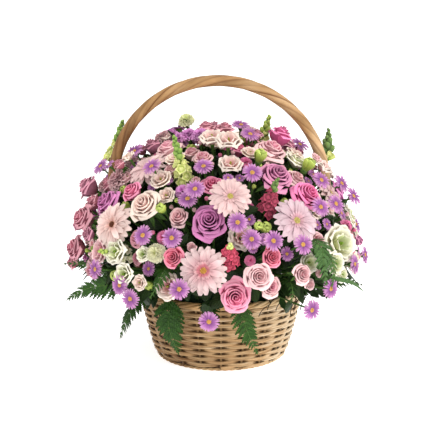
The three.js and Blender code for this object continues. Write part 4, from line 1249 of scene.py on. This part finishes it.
# These stand where they are given, and the loop below adds the rest where gaps are left.
seen = {
    "left": [
        ("spray_rose", "rosy", -85, 31, 244, 19), ("carnation", "plum", -93, 38, 244, 16),
        ("spray_rose", "dusty", -68, 21, 243, 15), ("starry_lisianthus", "blush", -88, 27, 250, 11),
        ("spray_rose", "rosy", -84, 6, 246, 16), ("spray_rose", "lilac", -97, 24, 244, 20),
        ("spray_rose", "rosy", -100, 57, 244, 14), ("aster", "aster", -98, 53, 246, 12),
        ("spray_rose", "dusty", -86, 20, 250, 13), ("spray_rose", "rosy", -76, 49, 254, 13),
        ("aster", "aster", -79, 46, 260, 11), ("starry_lisianthus", "cream", -75, 53, 256, 12),
        ("carnation", "plum", -95, 52, 240, 15), ("carnation", "violet", -93, 42, 244, 13),
        ("spray_rose", "rosy", -90, 40, 238, 21), ("lisianthus", "blush", -72, 48, 232, 15)],
    "front": [
        ("starry_lisianthus", "green_heart", -44, 19, 246, 20),
        ("starry_lisianthus", "green_heart", -37, 12, 249, 17),
        ("starry_lisianthus", "green_heart", -31, 20, 241, 12),
        ("starry_lisianthus", "cream", -30, 10, 246, 12), ("spray_rose", "blush", -39, 57, 228, 15),
        ("lisianthus", "cream", 30, 67, 236, 15), ("carnation", "violet", -22, 47, 232, 12),
        ("bud", "lime", -27, 37, 247, 9), ("lisianthus", "cream", -35, 49, 245, 17),
        ("starry_lisianthus", "cream", -28, 43, 241, 14), ("lisianthus", "cream", -40, 62, 238, 16)],
    "right": [
        ("lisianthus", "cream", 53, 36, 226, 16), ("starry_lisianthus", "snow", 75, 48, 256, 16),
        ("lisianthus", "blush", 75, 52, 256, 11), ("spray_rose", "lilac", 70, 18, 244, 12),
        ("lisianthus", "blush", 97, 50, 236, 14), ("starry_lisianthus", "green_heart", 52, 9, 240, 13)],
    "crown": [
        ("carnation", "violet", -74, 77, 243, 16), ("rose", "rosy", -68, 84, 247, 19),
        ("rose", "rosy", 22, 86, 247, 16), ("carnation", "plum", -106, 66, 248, 16),
        ("starry_lisianthus", "cream", -106, 67, 244, 14), ("carnation", "violet", -47, 79, 244, 15),
        ("lisianthus", "cream", 21, 80, 242, 13), ("spray_rose", "dusty", 63, 75, 246, 14),
        ("lisianthus", "cream", 79, 59, 240, 17), ("spray_rose", "pink", 100, 57, 240, 12)],
}
draw = np.random.default_rng(19)
for shoots in seen.values():
    for _, _, bearing, rise, reach, size in shoots:
        heads.append((gather + reach * outward(bearing, rise), size))
k = np.arange(candidates)
rises = np.degrees(np.arcsin(lowest_sine + 1.05 * (k + 0.5) / candidates))
bearings = np.degrees(k * golden) % 360
reaches = between_reach + draw.uniform(-7, 5, candidates)
places = np.array([gather + reach * outward(bearing, rise)
                   for bearing, rise, reach in zip(bearings, rises, reaches)])
gaps = gap_at(places)
# In front none stands lower than 8 degrees, and low down there they take only wider gaps.
frontness = np.cos(np.radians(bearings))
lowest_rise = 8 * smooth_step(-0.4, 0.2, frontness)
gaps[rises < lowest_rise] = 0
gaps = gaps - 3.5 * smooth_step(0.1, 0.6, frontness) * (1 - smooth_step(24, 40, rises))
between = {side: list(shoots) for side, shoots in seen.items()} | {"back_left": [], "back_right": []}
choices = {
    "left": [("rose", "rosy"), ("spray_rose", "dusty"), ("carnation", "plum"), ("spray_rose", "two_tone"),
             ("lisianthus", "blush"), ("spray_rose", "mauve")],
    "front": [("spray_rose", "blush"), ("lisianthus", "cream"), ("spray_rose", "pink"),
              ("starry_lisianthus", "snow"), ("carnation", "ivory"), ("spray_rose", "two_tone")],
    "right": [("lisianthus", "green_heart"), ("spray_rose", "blush"), ("starry_lisianthus", "snow"),
              ("spray_rose", "lilac"), ("lisianthus", "cream"), ("spray_rose", "rosy")],
    "back": [("spray_rose", "rosy"), ("carnation", "violet"), ("lisianthus", "green_heart"),
             ("rose", "dusty"), ("spray_rose", "cream"), ("spray_rose", "mauve")],
}
tiny_choices = [("bud", "blush"), ("bud", "snow"), ("bud", "pink"), ("bud", "blush"), ("bud", "lime")]
small_choices = [("aster", "aster"), ("spray_rose", "blush"), ("carnation", "magenta"),
                 ("aster", "aster"), ("starry_lisianthus", "snow"), ("bud", "lime")]
while gaps.max() > tiniest_gap:
    best = gaps.argmax()
    size = min(gaps[best], widest_gap)
    x, y, _ = outward(bearings[best], 0)
    side = "back" if y > 0.35 else "left" if x < -0.5 else "right" if x > 0.5 else "front"
    tiny = size < narrowest_gap
    offers = choices[side] if size > middling_gap else tiny_choices if tiny else small_choices
    kind, palette = offers[draw.integers(len(offers))]
    size = min(size, {"aster": aster_limit, "bud": bud_limit}.get(kind, size))
    size = tiny_bud if tiny else size
    part = "crown" if rises[best] > 58 else side
    if part == "back":
        part = "back_left" if x < 0 else "back_right"
    between[part].append((kind, palette, bearings[best], rises[best], reaches[best], size))
    heads.append((places[best], size))
    near = np.linalg.norm(places - places[best], axis=1) - max(closeness * size, 8)
    gaps = np.minimum(gaps, near)
for side, shoots in between.items():
    count = len(heads)
    plant("small_" + side, shoots, draw)
    del heads[count:]

# ---------------------------------------------------------------- ferns
# Leatherleaf fern: stiff fronds whose leaflets are cut into rounded lobes. They stand in the
# foam at the edge, arch out over the rim and hang in front of the basket.


def lobed(half_width, lobes, droop):
    """The shape of a lobed leaflet of length 1 that lies along X."""
    def shape(u, v):
        outline = np.sin(np.pi * (0.16 + 0.82 * v)) ** 0.5 * (1 - 0.6 * v)
        lobe = 0.5 + 0.5 * np.cos(2 * np.pi * lobes * v + np.pi)
        half = half_width * outline * (0.5 + 0.5 * lobe)
        ahead = 0.25 * half * np.abs(u)
        return v + ahead, half * u, 0.12 * half_width * np.abs(u) - droop * v**2
    return shape


frond_steps = 60
leaflets = [petal(2, 14, lobed(0.28, 7, droop), 0.02, shade=0.3 + droop) for droop in (0.06, 0.16)]


def round_basket(path):
    """Points out of bearings round the basket, distances from its axis and heights."""
    return [distance * outward(bearing, 0) + (0, 0, height) for bearing, distance, height in path]


def frond(path, width, pairs, roll, start, draw):
    """A frond along a path: a stalk, and from start on a leaflet either side."""
    line = smooth_line(round_basket(path), frond_steps)
    tangent = unit(np.gradient(line, axis=0))
    whole = distances(line)[-1]
    across = np.cross((0, 0, 1), outward(path[-1][0], 0))
    forms = []
    for k in range(pairs):
        share = (k + 0.5) / pairs
        i = int((frond_steps - 1) * (start + (1 - start) * share))
        axis = tangent[i]
        side = unit(across - (across @ axis) * axis)
        top = np.cross(axis, side)
        side = math.cos(roll) * side + math.sin(roll) * top
        top = np.cross(axis, side)
        half = 1.35 * width * (1 - 0.93 * share) ** 0.75 * min(1, 0.8 + share)
        for hand in (1, -1):
            slant = math.radians(58 - 22 * share) + draw.uniform(-0.05, 0.05)
            way = unit(math.sin(slant) * hand * side + math.cos(slant) * axis - 0.1 * top)
            over = unit(top - (top @ way) * way)
            length = 1.12 * half * draw.uniform(0.95, 1.05)
            stout = max(length, 0.035 * whole)
            axes = np.array([length * way, stout * np.cross(over, way), stout * over])
            form = leaflets[draw.integers(len(leaflets))]
            forms.append(form.graded(share, draw.random()).placed(axes, line[i]))
    thick = np.linspace(1.5, 0.45, frond_steps)
    stalk = sweep(line, thick, round_section(6), upright=(0.05, 0.03, 1))
    side = unit(across - (across @ tangent[-1]) * tangent[-1])
    axes = 0.5 * width * np.array([tangent[-4], side, np.cross(tangent[-4], side)])
    forms.append(leaflets[0].graded(1.0, 0.5).placed(axes, line[-4]))
    return merged(forms), stalk


fern_leaf = green_finish("fern_leaf", "0E240A", "3A6420", 0.45, 5)
fern_stalk = green_finish("fern_stalk", "3B5A2A", "5F7F3C", 0.5, 1)
ferns = {
    "fern_front_left": [
        ([(-30, 78, 131), (-30, 120, 131), (-30, 155, 127), (-28.5, 168, 92), (-24.5, 160, 44)], 25, 9, 0),
        ([(-30, 106, 131), (-42, 118, 131), (-47, 150, 131), (-49, 186, 104), (-52, 200, 61)], 19, 8, 0)],
    "fern_left": [
        ([(-62, 78, 130), (-62, 120, 131), (-63, 185, 137), (-65, 235, 133), (-67.5, 262, 116)], 24, 9, 65),
        ([(-62, 110, 131), (-70, 135, 134), (-76, 190, 150), (-79, 240, 161), (-80, 258, 160)], 16, 7, 60)],
    "fern_front": [
        ([(10, 80, 122), (10, 118, 124), (10, 150, 129), (13, 170, 90), (20, 165, 45)], 19, 8, 0),
        ([(10, 110, 123.5), (0, 116, 122), (-6, 130, 124), (-7, 155, 127), (-4, 176, 114), (-2, 186, 94)],
         15, 6, 0)],
    "fern_right": [
        ([(52, 78, 132), (52, 118, 135), (53, 180, 148), (53, 240, 152)], 22, 8, -65),
        ([(52, 106, 134), (61, 124, 133), (68, 160, 138), (67, 205, 145), (66, 244, 140)], 16, 7, -60)],
    "fern_back_right": [
        ([(112, 78, 130), (112, 120, 131), (113, 158, 128), (114, 190, 108), (115, 203, 62)], 22, 8, 0),
        ([(112, 106, 130.5), (124, 117, 127), (140, 124, 127), (150, 150, 129), (152, 186, 110),
          (153, 200, 60)], 22, 8, 0)],
    "fern_back_left": [
        ([(-150, 78, 130), (-150, 120, 131), (-149, 158, 128), (-148, 190, 108), (-147, 203, 62)], 22, 8, 0),
        ([(-150, 106, 130.5), (-160, 116, 127), (-170, 124, 127), (-175, 150, 129), (-176, 186, 110),
          (-176, 200, 60)], 22, 8, 0),
        ([(-150, 106, 130.5), (-138, 117, 127), (-122, 122, 127), (-113, 150, 129), (-112, 186, 110),
          (-111, 200, 64)], 22, 8, 0)],
}
draw = np.random.default_rng(17)
for name, fronds in ferns.items():
    parts = []
    for path, width, pairs, roll in fronds:
        start = 0.5 if len(path) > 4 else 0.36
        blades, stalk = frond(path, width, int(1.55 * pairs), math.radians(roll), start, draw)
        parts.append((blades, draw.uniform(0.85, 1.15) * np.ones(3), fern_leaf))
        parts.append((stalk, white, fern_stalk))
    fern = make_piece(name + "_fronds", parts)
    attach(fern, "root")
    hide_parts(name)

young_leaf = green_finish("young_leaf", "1C3A18", "5E8648", 0.45, 4)
loose_fronds = [
    ([(39, 84, 138), (39, 150, 190), (39, 215, 228), (38.5, 237, 222), (38, 246, 198), (39, 248, 166)],
     21, 9, young_leaf),
    ([(45, 84, 136), (45, 150, 180), (44, 215, 208), (43.5, 236, 202), (43, 246, 184), (42, 247, 158)],
     16, 8, young_leaf),
    ([(-24, 84, 136), (-24, 150, 175), (-23, 200, 194), (-22, 222, 192), (-23, 233, 176), (-26, 238, 152)],
     17, 9, fern_leaf),
    ([(-36, 84, 136), (-36, 150, 160), (-35, 200, 172), (-34, 225, 168), (-33, 236, 150), (-32, 238, 130)],
     15, 8, fern_leaf),
    ([(30, 84, 136), (30, 150, 160), (29, 200, 170), (28, 222, 168), (27, 232, 156), (26, 234, 144)],
     13, 7, fern_leaf)]
parts = []
for path, width, pairs, material in loose_fronds:
    blades, stalk = frond(path, width, int(1.45 * pairs), 0, 0.6, draw)
    parts.append((blades, white, material))
    parts.append((stalk, white, fern_stalk))
blade_path = [(44, 90, 134), (44, 180, 160), (45, 240, 170), (52, 250, 160), (60, 254, 138)]
strap_leaf = smooth_line(round_basket(blade_path), 30)
taper = np.sin(np.pi * np.linspace(0.12, 0.995, 30)) ** 0.6
parts.append((sweep(strap_leaf, 4.2 * taper, round_section(8) * (0.12, 1.0)), white, young_leaf))
loose = make_piece("loose_fronds", parts)
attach(loose, "root")

# ---------------------------------------------------------------- leaves on the stems
# The cut stems keep their upper leaves: narrow pointed ones on the carnations, snapdragons and
# buds, and broad toothed ones on the rest. They fill the gaps between the blooms.


def toothed(half_width, teeth, droop):
    """The shape of a leaf of length 1 that lies along X, folded a little along its rib."""
    def shape(u, v):
        outline = np.sin(np.pi * np.clip(0.04 + 0.95 * v, 0, 1)) ** 0.75 * (1.15 - 0.35 * v)
        tooth = 1 - 0.14 * (np.rint(2 * teeth * v) % 2) * (np.abs(u) > 0.9)
        half = half_width * outline * tooth
        return v + 0.04 * np.abs(u), half * u, 0.22 * half * np.abs(u) - droop * v**2
    return shape


broad_leaf = petal(2, 7, toothed(0.3, 3.5, 0.1), 0.014)
narrow_leaf = petal(2, 5, toothed(0.14, 0.0, 0.18), 0.016)
# Dark green, and darker still as painted shade for the deep gaps between the blooms.
leaf_green = green_finish("leaf_green", "0C1C0A", "263F18", 0.42, 7)
grey_leaf = green_finish("grey_leaf", "1C3018", "3C5630", 0.5, 3)
leaf_kinds = {
    "rose": (broad_leaf, 38, 7, leaf_green), "spray_rose": (broad_leaf, 32, 6, leaf_green),
    "gerbera": (broad_leaf, 42, 7, leaf_green), "ringed_gerbera": (broad_leaf, 42, 7, leaf_green),
    "carnation": (narrow_leaf, 44, 5, grey_leaf), "lisianthus": (broad_leaf, 34, 6, leaf_green),
    "starry_lisianthus": (broad_leaf, 28, 6, leaf_green), "spike": (narrow_leaf, 38, 6, leaf_green),
    "aster": (broad_leaf, 24, 5, leaf_green), "bud": (narrow_leaf, 20, 3, leaf_green),
}
centres = np.array([centre for centre, _ in heads])
girths = np.array([radius for _, radius in heads])


def room(points):
    """How far the nearest of the points is from the nearest bloom."""
    gaps = np.linalg.norm(centres[None] - points[:, None], axis=-1) - girths
    return gaps.min()


def leaf_parts(kind, start, throat, right, draw):
    """The leaves of one stem, each turned to where it has the most room."""
    form, length, count, material = leaf_kinds[kind]
    axis = unit(throat - start)
    up = np.cross(axis, right)
    whole = np.linalg.norm(throat - start)
    parts = []
    for k in range(count):
        share = 0.3 + 0.68 * (k + draw.uniform(0.2, 0.8)) / count
        base = start + share * whole * axis
        best = None
        for turn in draw.uniform(0, 2 * math.pi, 7):
            out = math.cos(turn) * right + math.sin(turn) * up
            way = unit((0.9 - 0.65 * share) * axis + out)
            size = length * draw.uniform(0.85, 1.15)
            points = base + size * np.outer((0.5, 0.8, 1.0), way)
            gap = room(points)
            if best is None or gap > best[0]:
                best = (gap, way, out, size)
        gap, way, out, size = best
        in_front_of_weave = points[-1, 2] < 142 and points[-1, 0] > 62 and points[-1, 1] < -30
        out_of_ball = points[-1, 2] > 240 and np.linalg.norm(points[-1] - gather) > 244
        if gap < 1 or in_front_of_weave or out_of_ball:
            continue
        across = unit(np.cross(axis, out))
        over = np.cross(way, across)
        light = draw.uniform(0.8, 1.25)
        copy = form.graded(0, draw.random()).placed(size * np.array([way, -across, -over]), base)
        parts.append((copy, (light, light, 0.9 * light), material))
    return parts


draw = np.random.default_rng(18)
leafy = {"rose_leaves": ("rose", "spray_rose"), "gerbera_side_leaves": ("gerbera", "ringed_gerbera"),
         "carnation_leaves": ("carnation",),
         "lisianthus_leaves": ("lisianthus", "starry_lisianthus", "bud"),
         "aster_leaves": ("aster",), "snapdragon_leaves": ("spike",)}
for name, kinds in leafy.items():
    parts = []
    for kind, start, throat, right in stalks:
        if kind in kinds:
            parts += leaf_parts(kind, start, throat, right, draw)
    leaves = make_piece(name, parts)
    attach(leaves, "root")

# ---------------------------------------------------------------- curly twigs
# Thin dark twigs that stand in the foam at the right and curl over the border.

twig_thickness = 1.25
twig_steps = 48
twig_bark = green_finish("twig_bark", "1E140A", "3C2A16", 0.6, 1)
draw = np.random.default_rng(20)
parts = []
for bearing in (34, 40, 44, 47, 50, 53, 56, 59, 63, 67):
    sway = draw.uniform(-9, 9, 4)
    line = smooth_line(round_basket([
        (bearing, 84, 128), (bearing, 118, 134), (bearing + sway[0], 146, 138 + sway[1]),
        (bearing + sway[2], 158 + 0.5 * sway[1], 122 + sway[3]),
        (bearing + 1.6 * sway[2], 160, 103 + sway[3])]), twig_steps)
    turn = np.linspace(0, 5 * np.pi, twig_steps)
    curl = np.stack([np.cos(turn), 0 * turn, np.sin(turn)], axis=-1)
    line = line + np.linspace(0, 5, twig_steps)[:, None] * curl
    thick = twig_thickness * np.linspace(1.2, 0.5, twig_steps)
    parts.append((sweep(line, thick, round_section(5)), white, twig_bark))
twigs = make_piece("curly_twigs", parts)
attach(twigs, "root")

# ---------------------------------------------------------------- the studio
# A pale floor that runs back into the white, soft light from above and from the front left,
# and the camera at the photograph's viewing angle, 13 degrees above level and 1.9 m away.

bpy.ops.mesh.primitive_circle_add(vertices=96, radius=30, fill_type="NGON")
floor = bpy.context.object
floor.name = "studio_floor"
matt = Finish("studio_white", Roughness=0.9, Emission_Strength=0.72, Emission_Color=(1, 1, 1, 1))
speck = matt.node("TexNoise", {}, {"Vector": matt.place(), "Scale": 3.0})
matt.paint(matt.ramp(speck, (0.3, (0.97, 0.97, 0.97, 1)), (0.7, (0.98, 0.98, 0.98, 1))))
floor.data.materials.append(matt.material)

world = bpy.data.worlds.new("studio")
bpy.context.scene.world = world
world.use_nodes = True
world.node_tree.nodes["Background"].inputs["Color"].default_value = (1, 1, 1, 1)
world.node_tree.nodes["Background"].inputs["Strength"].default_value = 0.72


def lamp(name, place, aim, size, power):
    """A soft square lamp that points at aim."""
    bpy.ops.object.light_add(type="AREA", location=place)
    light = bpy.context.object
    light.name = name
    light.data.size = size
    light.data.energy = power
    light.data.color = (1.0, 0.96, 0.9)
    light.rotation_euler = (light.location - aim).to_track_quat("Z", "Y").to_euler()


aim_height = 0.2
middle = Vector((0, 0, aim_height))
lamp("key_light", (1.7, -1.5, 1.5), middle, 0.9, 27)
lamp("top_light", (-0.3, -0.2, 2.2), middle, 1.2, 18)
lamp("fill_light", (-0.5, -2.3, 0.4), middle, 1.4, 6)

camera_distance = 1.9
camera_rise = math.radians(13.2)
focal_pixels = 1161.2
frame_height = 431
sensor_height = 36
offset_right = 6
offset_down = 17.8
camera_y = -camera_distance * math.cos(camera_rise)
camera_z = aim_height + camera_distance * math.sin(camera_rise)
bpy.ops.object.camera_add(location=(0, camera_y, camera_z), rotation=(math.pi / 2 - camera_rise, 0, 0))
camera = bpy.context.object
camera.data.sensor_fit = "VERTICAL"
camera.data.sensor_height = sensor_height
camera.data.lens = sensor_height * focal_pixels / frame_height
camera.data.shift_x = -offset_right / frame_height
camera.data.shift_y = offset_down / frame_height
bpy.context.scene.camera = camera
bpy.context.scene.view_settings.view_transform = "Standard"
